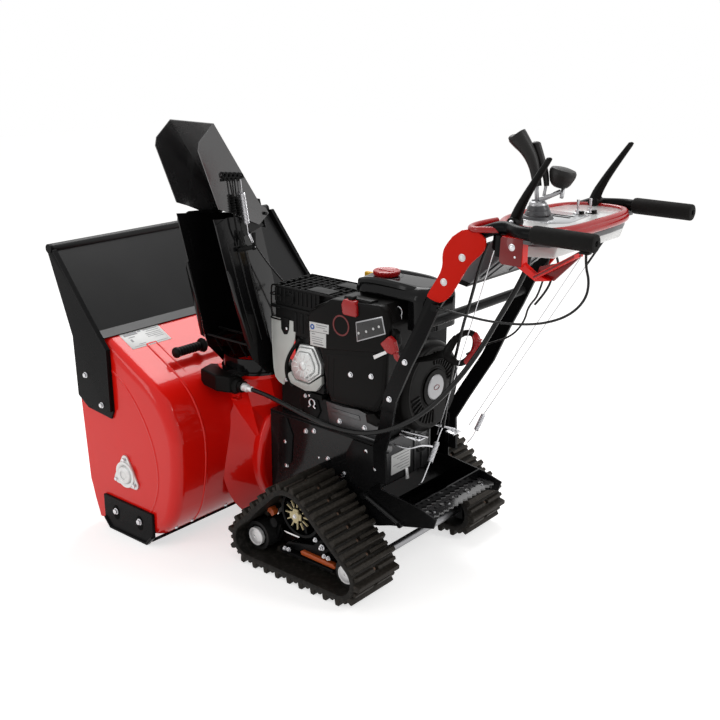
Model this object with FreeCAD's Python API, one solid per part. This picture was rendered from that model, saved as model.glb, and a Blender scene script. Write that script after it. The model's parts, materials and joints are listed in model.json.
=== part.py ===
import FreeCAD, Part
import math
import os

# Two-stage snow blower on rubber tracks, in millimetres.
# +X points forward to the auger housing, +Y to the machine's left, +Z up.
# The origin is on the floor under the middle of the machine.

V = FreeCAD.Vector

# ---- overall sizes -------------------------------------------------------------------
CLEAR = 0.3              # between round parts that turn in each other
GAP = 0.2                # between pieces that lie on each other
REACH = 728.0            # middle to the visor bar's front, and middle to the grips' rear ends
HALF_WIDTH = 387.5       # middle to the outer face of an auger housing end plate
INTAKE_TOP = 540.0       # height of the housing's front top edge

# ---- auger housing -------------------------------------------------------------------
SHEET = 3.0              # housing sheet
HOUSING_BEND = 28.0      # outer radius where the sheet turns onto the end plates
AUGER_X = 463.0          # auger shaft, forward of the middle
AUGER_Z = 175.0          # auger shaft, above the floor
AUGER_R = 162.0          # outer radius of the auger ribbons
SHAFT_R = 12.5           # auger shaft
LIP_X = 345.0            # rear bottom lip of the housing
LIP_Z = 36.0
BEARING_R = 42.0         # bolt circle of the cast flange on each end plate
BEARING_HOLE_R = 4.0
BEARING_T = 9.0
SKID_T = 8.0
SKID_FOOT = 13.2         # width of the part that slides
SKID_LENGTH = 200.0
SKID_HEIGHT = 92.0
SKID_X = 462.0           # middle of a skid shoe
SKID_BOLTS = (SKID_X - 48.0, SKID_X + 48.0)
SKID_BOLT_Z = 57.0
SKID_SLOT = 30.0         # length of the upright slots
SCRAPER_Z = 4.0          # lower edge of the scraper bar
SLEEVE_R = 19.0
RIBBON_W = 46.0          # auger ribbon, across
RIBBON_T = 6.0
GEARBOX_HALF = 36.0

# ---- impeller ------------------------------------------------------------------------
DRUM_Z = 212.0           # impeller shaft height
DRUM_R = 176.0           # outside of the impeller drum
DRUM_REAR = 186.0        # rear wall of the drum
DRUM_EDGE = 16.0         # rounding of the drum's rear edge
FLARE_X = 216.0          # where the drum starts to widen towards the housing
DRUM_FLARE = 56.0        # how far it widens
IMPELLER_R = 166.0
IMPELLER_SHAFT_R = 10.0
IMPELLER_T = 80.0        # depth of the impeller blades

# ---- discharge chute -----------------------------------------------------------------
CHUTE_X = 260.0          # turning axis
CHUTE_Y = 108.0
RING_Z = 445.0           # top of the drum's neck ring
RING_T = 9.0
NECK_R = 85.0
RING_R = NECK_R + 6.0
CHUTE_SHEET = 2.5
CHUTE_FOOT = 462.0       # foot of the leaning channel, on the axis
CHUTE_LENGTH = 430.0     # along the leaning channel's free edges
CHUTE_BACK = 370.0       # along its lower back
CHUTE_MID = 210.0        # where the channel narrows less
CHUTE_FRONT = 84.0       # axis to the channel's free edges
CHUTE_DEEP = 78.0        # axis to the channel's back
CHUTE_BREAK = 8.0        # where a side turns towards the back
CHUTE_WAIST = 0.58       # width of the back over the channel's width
SHAFT_X = 204.0          # where the flexible shaft leaves the worm case
SHAFT_Y = 212.0
SHAFT_Z = RING_Z - 19.0
HINGE_LIFT = 16.0        # deflector's pin above the channel's back
HINGE_IN = 66.0          # axis to the deflector's pin
HINGE_R = 4.0
CHUTE_LEAN = 14.5        # degrees, towards the discharge side
CHUTE_BASE_W = 166.0
CHUTE_MID_W = 140.0
CHUTE_TOP_W = 130.0
DEFLECTOR_W = 148.0
DEFLECTOR_LENGTH = 270.0
DEFLECTOR_DEEP = 104.0
DEFLECTOR_LEAN = 35.0    # degrees, at rest

# ---- visor over the intake -----------------------------------------------------------
VISOR_RISE = 193.0       # from the housing's top edge to the bar
VISOR_BAR_R = 12.0
VISOR_BAR_X = REACH - VISOR_BAR_R
BRACKET_BOLTS = ((602.0, 416.0), (542.0, 347.0))
BOLT_HOLE_R = 4.5
VISOR_T = 3.0
BRACKET_T = 5.0

# ---- clean-out tool ------------------------------------------------------------------
TOOL_X = 391.0
TOOL_Z = 489.0

# ---- undercarriage -------------------------------------------------------------------
TRACK_OUT = 305.0        # outer face of a track
TRACK_WIDTH = 150.0
TRACK_BELT = 14.0        # belt without the lugs
LUG = 16.0
IDLER_X = (113.0, -183.0)
IDLER_Z = 68.0
SPROCKET_X = -25.0
SPROCKET_Z = 168.0
SPROCKET_RISE = 92.0     # sprocket centre to the top of the lugs
WHEEL_IN = 34.0          # how far wheel hubs sit inside the track's outer face
AXLE_R = 10.0
CAP_R = 23.0             # silver hub caps
CHASSIS_HALF = 138.0
CHASSIS_T = 4.0
CHASSIS_TOP = 352.0
CHASSIS_BOTTOM = 96.0
CHASSIS_FRONT = DRUM_REAR - 0.2
CHASSIS_REAR = -178.0    # rear end of the engine plate
TRAY_REAR = -275.0       # rear wall of the open tray behind it
TRAY_TOP = 222.0
SIDE_REAR = -341.0       # rear end of the side plates
FOOT_Z = 199.0
FOOT_REAR = -318.0

# ---- engine --------------------------------------------------------------------------
CRANK_Z = 470.0          # crankshaft height
CRANK_Y = 8.0
ENGINE_REAR = -168.0
ENGINE_FRONT = 92.0
ENGINE_HALF = CHASSIS_HALF - 10.0    # inside the struts beside it
RECOIL_R = 112.0
RECOIL_T = 62.0
COVER_HALF = ENGINE_HALF - 10.0
COVER_Y = 182.0          # outer face of the carburettor cover
VALVE_X = 36.0
VALVE_Z = 504.0
MUFFLER_X0 = -62.0
MUFFLER_X1 = 148.0
MUFFLER_Y0 = 16.0
MUFFLER_Y1 = 156.0
MUFFLER_TOP = 684.0
GUARD_FOOT = 572.0       # top of the cylinder head
ENGINE_TOP = 640.0
ENGINE_LEFT = 92.0
HEAD_Y = 146.0
TANK_X0 = -296.0
TANK_X1 = -70.0
TANK_RIGHT = -2.0       # the tank covers the left half of the engine's top
TANK_TOP = 736.0
TANK_HUMP = 30.0         # rounding of its top edges
TANK_CORNER = 40.0       # rounding of its upright edges
CAP_X = -130.0
CAP_Y = 66.0
FUEL_CAP_R = 31.0
CAP_RISE = 13.0
DIP_X = -34.0

# ---- handles -------------------------------------------------------------------------
STRUT_Y = 196.0          # middle of a strut
STRUT_W = 36.0
STRUT_T = 8.0
STRUT_FOOT_Y = CHASSIS_HALF + GAP + STRUT_T / 2
STRUT_LINE = ((-180.0, STRUT_FOOT_Y, 256.0), (-176.0, STRUT_FOOT_Y, 342.0), (-206.0, 158.0, 407.0),
              (-248.0, STRUT_Y, 500.0), (-290.0, STRUT_Y, 593.0), (-324.0, STRUT_Y, 659.0),
              (-359.0, STRUT_Y, 736.0), (-410.0, STRUT_Y, 812.0))
WIRE_X = -378.0          # clip on the left strut that holds the grip's lead
WIRE_Y = 207.0
WIRE_Z = 731.0
CROSS_X = -338.0
CROSS_Z = 686.0
GRIP_Y = 210.0
GRIP_Z = 914.0
GRIP_R = 17.5
GRIP_LENGTH = 134.0
BAR_R = 12.5
DASH_Z = 905.0
LAMP_HALF = 128.0        # half the lamp housing's width

# ---- plain helpers -------------------------------------------------------------------
def block(x0, x1, y0, y1, z0, z1):
    return Part.makeBox(x1 - x0, y1 - y0, z1 - z0, V(x0, y0, z0))


def rod(start, end, radius):
    start = V(*start)
    along = V(*end) - start
    return Part.makeCylinder(radius, along.Length, start, along)


def cone(start, end, radius0, radius1):
    start = V(*start)
    along = V(*end) - start
    return Part.makeCone(radius0, radius1, along.Length, start, along)


def loop(points):
    """A closed wire of straight edges."""
    return Part.makePolygon([V(*p) for p in points] + [V(*points[0])])


def prism(points, along):
    return Part.Face(loop(points)).extrude(V(*along))


def side_plate(points, y0, y1):
    """A plate with an outline in X and Z, from y0 to y1."""
    return prism([(x, y0, z) for x, z in points], (0, y1 - y0, 0))


def floor_plate(points, z0, z1):
    """A plate with an outline in X and Y, from z0 to z1."""
    return prism([(x, y, z0) for x, y in points], (0, 0, z1 - z0))


def rounded(shape, radius, chosen):
    """The shape with the chosen edges rounded."""
    return shape.makeFillet(radius, [e for e in shape.Edges if chosen(e)])


def runs_along(edge, axis):
    """True for a straight edge along the axis."""
    if len(edge.Vertexes) != 2:
        return False
    step = edge.Vertexes[1].Point - edge.Vertexes[0].Point
    if step.Length < 1e-6 or abs(step.Length - edge.Length) > 1e-6:
        return False
    return abs(abs(step.normalize().dot(V(*axis))) - 1) < 1e-6


def faceted(sections):
    """A solid with flat facets between closed outlines that have as many corners each."""
    faces = [Part.Face(loop(sections[0])), Part.Face(loop(sections[-1]))]
    for low, high in zip(sections, sections[1:]):
        for i in range(len(low)):
            j = (i + 1) % len(low)
            faces.append(Part.Face(loop([low[i], low[j], high[j]])))
            faces.append(Part.Face(loop([low[i], high[j], high[i]])))
    solid = Part.Solid(Part.Shell(faces))
    if solid.Volume < 0:
        solid.reverse()
    return solid


def joined(shapes):
    shape = shapes[0].fuse(shapes[1:]) if len(shapes) > 1 else shapes[0]
    return shape.removeSplitter()


def other_side(shape):
    """The same piece on the machine's other side."""
    return shape.mirror(V(0, 0, 0), V(0, 1, 0))


def arc_from(start, tangent, end):
    """The arc that leaves start along tangent and ends at end, and its last tangent."""
    chord = end - start
    unit = V(chord).normalize()
    t = V(tangent).normalize()
    side = t - unit * t.dot(unit)
    half = math.atan2(side.Length, t.dot(unit))
    if side.Length < 1e-9:
        return Part.LineSegment(start, end).toShape(), t
    side.normalize()
    sag = chord.Length / 2 * math.tan(half / 2)
    middle = (start + end) * 0.5 + side * sag
    last = unit * (2 * t.dot(unit)) - t
    return Part.Arc(start, middle, end).toShape(), last


def route(points, largest=1e9):
    """Straight runs joined by tangent arcs, and the arcs' radii."""
    points = [V(*p) for p in points]
    edges = []
    radii = []
    last = points[0]
    for before, corner, after in zip(points, points[1:], points[2:]):
        back = before - corner
        ahead = after - corner
        shorter = min(back.Length, ahead.Length)
        half_turn = (math.pi - back.getAngle(ahead)) / 2
        cut = min(0.45 * shorter, largest * math.tan(half_turn))
        radii.append(cut / math.tan(half_turn))
        start = corner + V(back).normalize() * cut
        end = corner + V(ahead).normalize() * cut
        inward = (V(back).normalize() + V(ahead).normalize()).normalize()
        reach = radii[-1] / math.cos(half_turn) - radii[-1]
        edges.append(Part.LineSegment(last, start).toShape())
        edges.append(Part.Arc(start, corner + inward * reach, end).toShape())
        last = end
    edges.append(Part.LineSegment(last, points[-1]).toShape())
    return Part.Wire(edges), radii


def pipe(points, radius, largest=1e9):
    """A round bar or tube along a route."""
    wire, radii = route(points, largest)
    start = V(*points[0])
    along = V(*points[1]) - start
    section = Part.Wire([Part.makeCircle(radius, start, along)])
    return wire.makePipeShell([section], True, False), radii, wire.Length


# ---- auger housing -------------------------------------------------------------------
def housing_back(inset, longer):
    """The rear profile at y = 0 from the top front edge to the lip, moved inwards by inset.

    longer carries both straight ends further, past the sheet's own edges."""
    corners = [V(548, 0, INTAKE_TOP), V(372, 0, INTAKE_TOP - 89), V(262, 0, 272), V(285, 0, 118),
               V(LIP_X, 0, LIP_Z)]
    tangent = (corners[1] - corners[0]).normalize()
    edges = []
    inward = V(tangent.z, 0, -tangent.x) * -1
    start = corners[0] + inward * inset
    first = start - tangent * longer
    edges.append(Part.LineSegment(first, corners[1] + inward * inset).toShape())
    start = corners[1] + inward * inset
    for corner, after in zip(corners[1:], corners[2:]):
        arc, last = arc_from(corner, tangent, after)
        inward = V(last.z, 0, -last.x) * -1
        end = after + inward * inset
        edges.append(arc_from(start, tangent, end)[0])
        start = end
        tangent = last
    if longer:
        end = start + tangent * 80
        edges.append(Part.LineSegment(start, end).toShape())
        start = end
    return edges, first, start


def housing_half(inset, longer, half, bend):
    """The left half of the housing as one block, its rear edges bent round."""
    edges, first, last = housing_back(inset, longer)
    if longer:
        front = [V(900, 0, last.z), V(900, 0, first.z)]
    else:
        front = [V(591, 0, 15), V(623, 0, 118), V(638, 0, 351)]
    top = edges[0].BoundBox.Center
    corners = [last] + front + [first]
    for start, end in zip(corners, corners[1:]):
        edges.append(Part.LineSegment(start, end).toShape())
    solid = Part.Face(Part.Wire(edges)).extrude(V(0, half, 0))

    def top_edge(edge):
        centre = edge.BoundBox.Center
        aside = math.hypot(centre.x - top.x, centre.z - top.z)
        return abs(centre.y - half) < 0.01 and aside < 0.5
    return rounded(solid, bend, top_edge)


def auger_housing():
    outer = housing_half(0, 0, HALF_WIDTH, HOUSING_BEND)
    inner = housing_half(SHEET, 300, HALF_WIDTH - SHEET, HOUSING_BEND - SHEET)
    half = outer.cut(inner)
    end = HALF_WIDTH + 10
    holes = [(AUGER_X, AUGER_Z, SHAFT_R + 6)]
    holes += [(x, z, BOLT_HOLE_R) for x, z in BRACKET_BOLTS]
    holes += [(x, SKID_BOLT_Z, BOLT_HOLE_R) for x in SKID_BOLTS]
    holes += [(x, z, BEARING_HOLE_R) for x, z in bearing_bolts()]
    half = half.cut([rod((x, end - 20, z), (x, end, z), r) for x, z, r in holes])
    shell = half.fuse(other_side(half))
    return shell.cut(rod((LIP_X - 130, 0, DRUM_Z), (LIP_X, 0, DRUM_Z), DRUM_R - SHEET))


def impeller_housing():
    """The drum behind the auger housing and its neck up to the chute's ring."""
    def solid(inset):
        rear = DRUM_REAR + inset
        radius = DRUM_R - inset
        drum = rod((rear, 0, DRUM_Z), (LIP_X, 0, DRUM_Z), radius)
        drum = rounded(drum, DRUM_EDGE - inset, lambda e: e.BoundBox.XLength < 0.01
                       and abs(e.BoundBox.Center.x - rear) < 0.01)
        widest = radius + DRUM_FLARE
        flare_end = FLARE_X + inset + DRUM_FLARE
        flare = cone((FLARE_X + inset, 0, DRUM_Z), (flare_end, 0, DRUM_Z), radius, widest)
        floor = LIP_Z + 2 + inset
        flare = flare.common(block(rear, LIP_X, -widest, widest, floor, DRUM_Z + widest))
        front = CHUTE_X + NECK_R
        left = radius + 8
        low = [(rear, -30), (rear, CHUTE_Y - 30), (rear + 12, radius - 20), (CHUTE_X - 20, left),
               (front, left), (front, CHUTE_Y), (front, 0), (CHUTE_X, -60)]
        high = []
        middle = []
        for step in range(8):
            turn = math.radians(202.5 - 45 * step)
            high.append((CHUTE_X + (NECK_R - inset) * math.cos(turn),
                         CHUTE_Y + (NECK_R - inset) * math.sin(turn)))
        foot = DRUM_Z + 30
        top = RING_Z - RING_T + inset
        share = (CHASSIS_TOP + 8 - foot) / (top - foot)
        for (x0, y0), (x1, y1) in zip(low, high):
            middle.append((max(rear, x0 + (x1 - x0) * share), y0 + (y1 - y0) * share))
        neck = faceted([[(x, y, foot) for x, y in low],
                        [(x, y, CHASSIS_TOP + 8) for x, y in middle],
                        [(x, y, top) for x, y in high]])
        return drum.fuse([flare, neck])
    body = solid(0).cut(solid(SHEET))
    half = housing_half(-GAP, 300, HALF_WIDTH, HOUSING_BEND)
    centre = (CHUTE_X, CHUTE_Y)
    ring = rod((*centre, RING_Z - RING_T), (*centre, RING_Z), RING_R)
    opening = rod((*centre, RING_Z - RING_T - SHEET), (*centre, RING_Z + 1), NECK_R - 12)
    bearing = rod((DRUM_REAR - 14, 0, DRUM_Z), (DRUM_REAR + SHEET, 0, DRUM_Z), 34)
    shaft_hole = rod((0, 0, DRUM_Z), (400, 0, DRUM_Z), IMPELLER_SHAFT_R + CLEAR)
    body = body.fuse([ring, bearing])
    return body.cut([opening, shaft_hole, half, other_side(half)])


def visor():
    """The sheet that raises the intake, with its top edge rolled round a bar."""
    low = V(548, 0, INTAKE_TOP + SHEET * 0.3)
    high = V(VISOR_BAR_X, 0, INTAKE_TOP + VISOR_RISE)
    back = V(-0.893, 0, -0.451)
    foot = low + back * 30
    lift = V(-0.451, 0, 0.893)
    slope = (high - low).normalize()
    out = V(-slope.z, 0, slope.x)
    outline = [foot + lift * 0.3, low + lift * 0.3, high, high + out * VISOR_T,
               low + lift * 0.3 + out * VISOR_T, foot + lift * (VISOR_T + 0.3)]
    half = HALF_WIDTH + GAP
    sheet = side_plate([(p.x, p.z) for p in outline], -half, half)
    bar = rod((VISOR_BAR_X, -half, high.z), (VISOR_BAR_X, half, high.z), VISOR_BAR_R)
    return sheet.fuse(bar)


def visor_bracket():
    """The left bracket: a plate bolted to the housing's end, with an arm up to the bar."""
    inner = HALF_WIDTH + 2 * GAP
    bar_z = INTAKE_TOP + VISOR_RISE
    outline = [(VISOR_BAR_X + 11, bar_z - 4), (646, 512), (641, 353), (601, 327), (506, 318),
               (496, 340), (498, 505), (560, 574), (VISOR_BAR_X - 26, bar_z)]
    plate = side_plate(outline, inner, inner + BRACKET_T)
    cap = rod((VISOR_BAR_X, inner, bar_z), (VISOR_BAR_X, inner + BRACKET_T + 3, bar_z),
              VISOR_BAR_R)
    flange = side_plate([(498, 340), (498, 505), (560, 574), (VISOR_BAR_X - 26, bar_z),
                         (VISOR_BAR_X - 22, bar_z), (563, 570), (502, 503), (502, 340)],
                        inner, inner + BRACKET_T + 8)
    body = joined([plate, cap, flange])
    holes = [rod((x, inner - 1, z), (x, inner + 20, z), BOLT_HOLE_R) for x, z in BRACKET_BOLTS]
    return body.cut(holes)


def skid_shoe():
    """The left skid shoe, turned up at both ends, with two upright slots."""
    inner = HALF_WIDTH + GAP
    left = SKID_X - SKID_LENGTH / 2
    right = SKID_X + SKID_LENGTH / 2
    plate = side_plate([(left + 24, 0), (right - 24, 0), (right, 26), (right, SKID_HEIGHT),
                        (left, SKID_HEIGHT), (left, 26)], inner, inner + SKID_T)
    foot = side_plate([(left + 24, 0), (right - 24, 0), (right, 26), (right - 5, 30),
                       (right - 28, 7), (left + 28, 7), (left + 5, 30), (left, 26)],
                      inner, inner + SKID_FOOT)
    slots = [block(x - BOLT_HOLE_R, x + BOLT_HOLE_R, inner - 1, inner + 20,
                   SKID_BOLT_Z - SKID_SLOT / 2, SKID_BOLT_Z + SKID_SLOT / 2) for x in SKID_BOLTS]
    return plate.fuse(foot).cut(slots)


def bearing_bolts():
    """The three bolt centres of an auger bearing, in X and Z."""
    turns = [math.radians(turn) for turn in (90, 210, 330)]
    return [(AUGER_X + BEARING_R * math.cos(a), AUGER_Z + BEARING_R * math.sin(a)) for a in turns]


def auger_bearing():
    """The left cast bearing flange on the end plate."""
    inner = HALF_WIDTH + GAP
    centre = (AUGER_X, AUGER_Z)
    corners = bearing_bolts()
    plate = rod((centre[0], inner, centre[1]), (centre[0], inner + 5, centre[1]), 29)
    lugs = [rod((x, inner, z), (x, inner + 5, z), 11) for x, z in corners]
    webs = side_plate(corners, inner, inner + 5)
    boss = rod((centre[0], inner, centre[1]), (centre[0], inner + BEARING_T + 4, centre[1]), 20)
    body = plate.fuse(lugs + [webs, boss])
    bore = rod((centre[0], inner - 1, centre[1]), (centre[0], inner + 40, centre[1]),
               SHAFT_R + CLEAR)
    holes = [rod((x, inner - 1, z), (x, inner + 20, z), BEARING_HOLE_R) for x, z in corners]
    return body.cut(holes + [bore])


def scraper_bar():
    """The wear strip under the housing's rear lip."""
    low = SCRAPER_Z
    half = HALF_WIDTH - SHEET - 1
    outline = [(LIP_X - 2, LIP_Z - 6), (LIP_X + 38, low), (LIP_X + 45, low), (LIP_X + 45, low + 5),
               (LIP_X + 5, LIP_Z - 1)]
    return side_plate(outline, -half, half)


def auger_shaft():
    half = HALF_WIDTH + BEARING_T + 3
    return rod((AUGER_X, -half, AUGER_Z), (AUGER_X, half, AUGER_Z), SHAFT_R)


def auger_half(side):
    """One auger: a sleeve on the shaft and two ribbons on spokes."""
    inner = GEARBOX_HALF + 10
    outer = HALF_WIDTH - SHEET - 14
    sleeve = rod((AUGER_X, inner, AUGER_Z), (AUGER_X, outer, AUGER_Z), SLEEVE_R)
    sleeve = sleeve.cut(rod((AUGER_X, 0, AUGER_Z), (AUGER_X, 500, AUGER_Z), SHAFT_R + GAP))
    pieces = []
    length = outer - inner - RIBBON_T
    steps = 20
    turn = 400.0
    for start in (0, 180):
        sections = []
        for i in range(steps + 1):
            a = math.radians(start + turn * i / steps)
            y = inner + length * i / steps
            ca = math.cos(a)
            sa = math.sin(a)
            sections.append([(AUGER_X + r * ca, y + t, AUGER_Z + r * sa)
                             for r, t in ((AUGER_R - RIBBON_W, 0), (AUGER_R, 0),
                                          (AUGER_R, RIBBON_T), (AUGER_R - RIBBON_W, RIBBON_T))])
        pieces.append(faceted(sections))
        for i in (1, 7, 13, 19):
            a = math.radians(start + turn * i / steps)
            y = inner + length * i / steps + RIBBON_T / 2
            reach = AUGER_R - RIBBON_W + 8
            pieces.append(rod((AUGER_X, y, AUGER_Z),
                              (AUGER_X + reach * math.cos(a), y, AUGER_Z + reach * math.sin(a)), 6))
    pieces = [p.cut(rod((AUGER_X, 0, AUGER_Z), (AUGER_X, 500, AUGER_Z), SLEEVE_R - 1))
              for p in pieces]
    body = sleeve.fuse(pieces)
    return body if side > 0 else other_side(body)


def auger_gearbox():
    """The cast worm case between the augers, on the end of the impeller shaft."""
    case = block(AUGER_X - 34, AUGER_X + 34, -GEARBOX_HALF, GEARBOX_HALF, AUGER_Z - 36, DRUM_Z + 24)
    case = rounded(case, 10, lambda e: True)
    nose = cone((AUGER_X - 100, 0, DRUM_Z), (AUGER_X - 30, 0, DRUM_Z), 17, 24)
    body = case.fuse(nose)
    bore = rod((AUGER_X, -100, AUGER_Z), (AUGER_X, 100, AUGER_Z), SHAFT_R + CLEAR)
    worm = rod((AUGER_X - 120, 0, DRUM_Z), (AUGER_X - 6, 0, DRUM_Z), IMPELLER_SHAFT_R + CLEAR)
    return body.cut([bore, worm])


def impeller():
    """Five blades on a hub, and the shaft from the belt pulley to the worm."""
    rear = DRUM_REAR + SHEET + 8
    shaft = rod((DRUM_REAR - 60, 0, DRUM_Z), (AUGER_X - 8, 0, DRUM_Z), IMPELLER_SHAFT_R)
    hub = rod((rear, 0, DRUM_Z), (rear + IMPELLER_T, 0, DRUM_Z), 24)
    disc = rod((rear, 0, DRUM_Z), (rear + 4, 0, DRUM_Z), IMPELLER_R - 30)
    pieces = [hub, disc]
    for i in range(5):
        blade = block(rear, rear + IMPELLER_T, -3, 3, DRUM_Z, DRUM_Z + IMPELLER_R)
        tip = block(rear, rear + IMPELLER_T, -3, 22, DRUM_Z + IMPELLER_R - 14, DRUM_Z + IMPELLER_R - 9)
        arm = blade.fuse(tip)
        arm.rotate(V(0, 0, DRUM_Z), V(1, 0, 0), 72 * i + 10)
        pieces.append(arm)
    return shaft.fuse(pieces)


def chute_place(shape):
    """Leans a shape built upright at the chute's axis towards the discharge side (+Y)."""
    shape.rotate(V(CHUTE_X, CHUTE_Y, CHUTE_FOOT), V(1, 0, 0), -CHUTE_LEAN)
    return shape


def channel(width, front, back, z, rise=0.0):
    """A channel's section at height z: x across, y towards the discharge side.

    rise lifts the free edges over the back."""
    half = width / 2
    waist = half * CHUTE_WAIST
    sheet = CHUTE_SHEET
    length = math.hypot(half - waist, CHUTE_BREAK + back)
    nx = (CHUTE_BREAK + back) / length
    ny = (half - waist) / length
    side = CHUTE_BREAK + sheet * (1 - nx) / ny
    low = waist - sheet * (1 - ny) / nx
    points = [(-half, front), (-half, CHUTE_BREAK), (-waist, -back), (waist, -back), (half, CHUTE_BREAK),
              (half, front), (half - sheet, front), (half - sheet, side), (low, sheet - back),
              (-low, sheet - back), (sheet - half, side), (sheet - half, front)]
    return [(CHUTE_X + x, CHUTE_Y + y, z + rise * (y + back) / (front + back)) for x, y in points]


def chute_pin():
    """The deflector pin's Y and Z while the channel stands upright."""
    return CHUTE_Y - HINGE_IN, CHUTE_FOOT + CHUTE_BACK + HINGE_LIFT


def chute():
    """The lower chute: a collar that turns on the neck's ring, and a leaning channel."""
    centre = (CHUTE_X, CHUTE_Y)
    foot = RING_Z + CLEAR
    collar = rod((*centre, foot), (*centre, foot + 40), NECK_R)
    flange = rod((*centre, foot), (*centre, foot + 6), RING_R)
    bore = rod((*centre, foot - 1), (*centre, foot + 60), NECK_R - 6)
    collar = collar.fuse(flange).cut(bore)
    z0 = CHUTE_FOOT
    lip = CHUTE_BASE_W - 4
    stations = [channel(CHUTE_BASE_W, 44, 68, z0), channel(lip, 62, 70, z0 + 32),
                channel(lip - 4, 80, 72, z0 + 62), channel(lip - 6, CHUTE_FRONT, 74, z0 + 88),
                channel(CHUTE_MID_W, CHUTE_FRONT, CHUTE_DEEP, z0 + CHUTE_MID),
                channel(CHUTE_TOP_W, CHUTE_FRONT, CHUTE_DEEP, z0 + CHUTE_BACK, CHUTE_LENGTH - CHUTE_BACK)]
    pin_y, pin_z = chute_pin()
    rear = CHUTE_Y - CHUTE_DEEP
    ears = [block(CHUTE_X + x, CHUTE_X + x + 6, rear + 1, pin_y + 7, pin_z - 42, pin_z + 7)
            for x in (-32, 26)]
    half = DEFLECTOR_W / 2 + 6
    pin = rod((CHUTE_X - half, pin_y, pin_z), (CHUTE_X + half, pin_y, pin_z), HINGE_R)
    leaning = chute_place(faceted(stations).fuse(ears + [pin]))
    return collar.fuse(leaning)


def chute_deflector():
    """The tilting hood on top of the chute, standing up at rest."""
    half = DEFLECTOR_W / 2
    t = CHUTE_SHEET
    pin_y, pin_z = chute_pin()
    long = DEFLECTOR_LENGTH
    deep = DEFLECTOR_DEEP
    back = block(CHUTE_X - half, CHUTE_X + half, pin_y - t, pin_y, pin_z + 14, pin_z + long)
    outline = [(-t, long), (deep * 0.53, long - 5), (deep * 0.67, long - 18), (deep, long * 0.4),
               (deep * 0.79, long * 0.285), (30, -9), (-11, -9), (-11, 9), (-t, 22)]
    side = prism([(CHUTE_X - half, pin_y + v, pin_z + u) for v, u in outline], (t, 0, 0))
    sides = [side, side.mirror(V(CHUTE_X, 0, 0), V(1, 0, 0))]
    body = back.fuse(sides)
    body = body.cut(rod((CHUTE_X - half - 5, pin_y, pin_z), (CHUTE_X + half + 5, pin_y, pin_z),
                        HINGE_R + CLEAR))
    body.rotate(V(CHUTE_X, pin_y, pin_z), V(1, 0, 0), -(DEFLECTOR_LEAN - CHUTE_LEAN))
    return chute_place(body)


def chute_guard():
    """The wire hand guard inside the chute's foot."""
    half = CHUTE_BASE_W / 2 - CHUTE_SHEET - 6
    low = CHUTE_FOOT + 46
    high = CHUTE_FOOT + 96
    front = CHUTE_Y + CHUTE_FRONT - 8
    deep = front - 40
    wires = [rod((CHUTE_X - half, y, high), (CHUTE_X + half, y, high), 2.6) for y in (deep, front)]
    for x in (-half * 0.6, 0, half * 0.6):
        wires.append(rod((CHUTE_X + x, deep, high), (CHUTE_X + x, front, high), 2.1))
        wires.append(rod((CHUTE_X + x + 6, front, high), (CHUTE_X + x + 6, front - 14, low), 2.1))
    return chute_place(wires[0].fuse(wires[1:]))


def chute_gearbox():
    """The worm case that turns the chute, on an arm from the neck."""
    low = RING_Z - 34
    case = floor_plate([(326, 176), (346, 192), (332, 238), (262, 252), (226, 240), (220, 214)],
                       low, RING_Z + 8)
    case = rounded(case, 5, lambda e: True)
    centre = (CHUTE_X, CHUTE_Y)
    case = case.cut([rod((*centre, 0), (*centre, 900), RING_R + 2),
                     rod((*centre, RING_Z - 5), (*centre, 900), RING_R + 9)])
    arm = floor_plate([(240, 150), (320, 150), (320, 214), (240, 226)], low + 8, low + 16)
    boss = rod((234, SHAFT_Y, SHAFT_Z), (SHAFT_X, SHAFT_Y, SHAFT_Z), 15)
    half = housing_half(-GAP, 300, HALF_WIDTH, HOUSING_BEND)
    neck = rod((*centre, 0), (*centre, 900), NECK_R + CLEAR)
    return joined([case, arm, boss]).cut([half, neck])


def clean_out_tool():
    """The clearing tool in its clips on the housing: grip, collar, rod and small blade."""
    z = TOOL_Z
    grip = rod((TOOL_X, 268, z), (TOOL_X, 176, z), 15)
    knob = rod((TOOL_X, 272, z), (TOOL_X, 262, z), 18)
    collar = rod((TOOL_X, 184, z), (TOOL_X, 172, z), 24)
    shank = rod((TOOL_X, 180, z), (TOOL_X, -160, z), 8)
    blade = block(TOOL_X - 4, TOOL_X + 4, -250, -150, z - 22, z + 22)
    return joined([grip, knob, collar, shank, blade])


def tool_clips():
    """Two clips that hold the tool on the housing's sloping top."""
    clips = []
    for y in (60, -120):
        post = block(TOOL_X - 9, TOOL_X + 9, y - 8, y + 8, 380, TOOL_Z)
        post = post.cut([housing_half(-GAP, 300, HALF_WIDTH, HOUSING_BEND),
                         other_side(housing_half(-GAP, 300, HALF_WIDTH, HOUSING_BEND))])
        post = post.cut(rod((TOOL_X, y - 20, TOOL_Z), (TOOL_X, y + 20, TOOL_Z), 8 + GAP))
        clips.append(post)
    return Part.makeCompound(clips)


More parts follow.
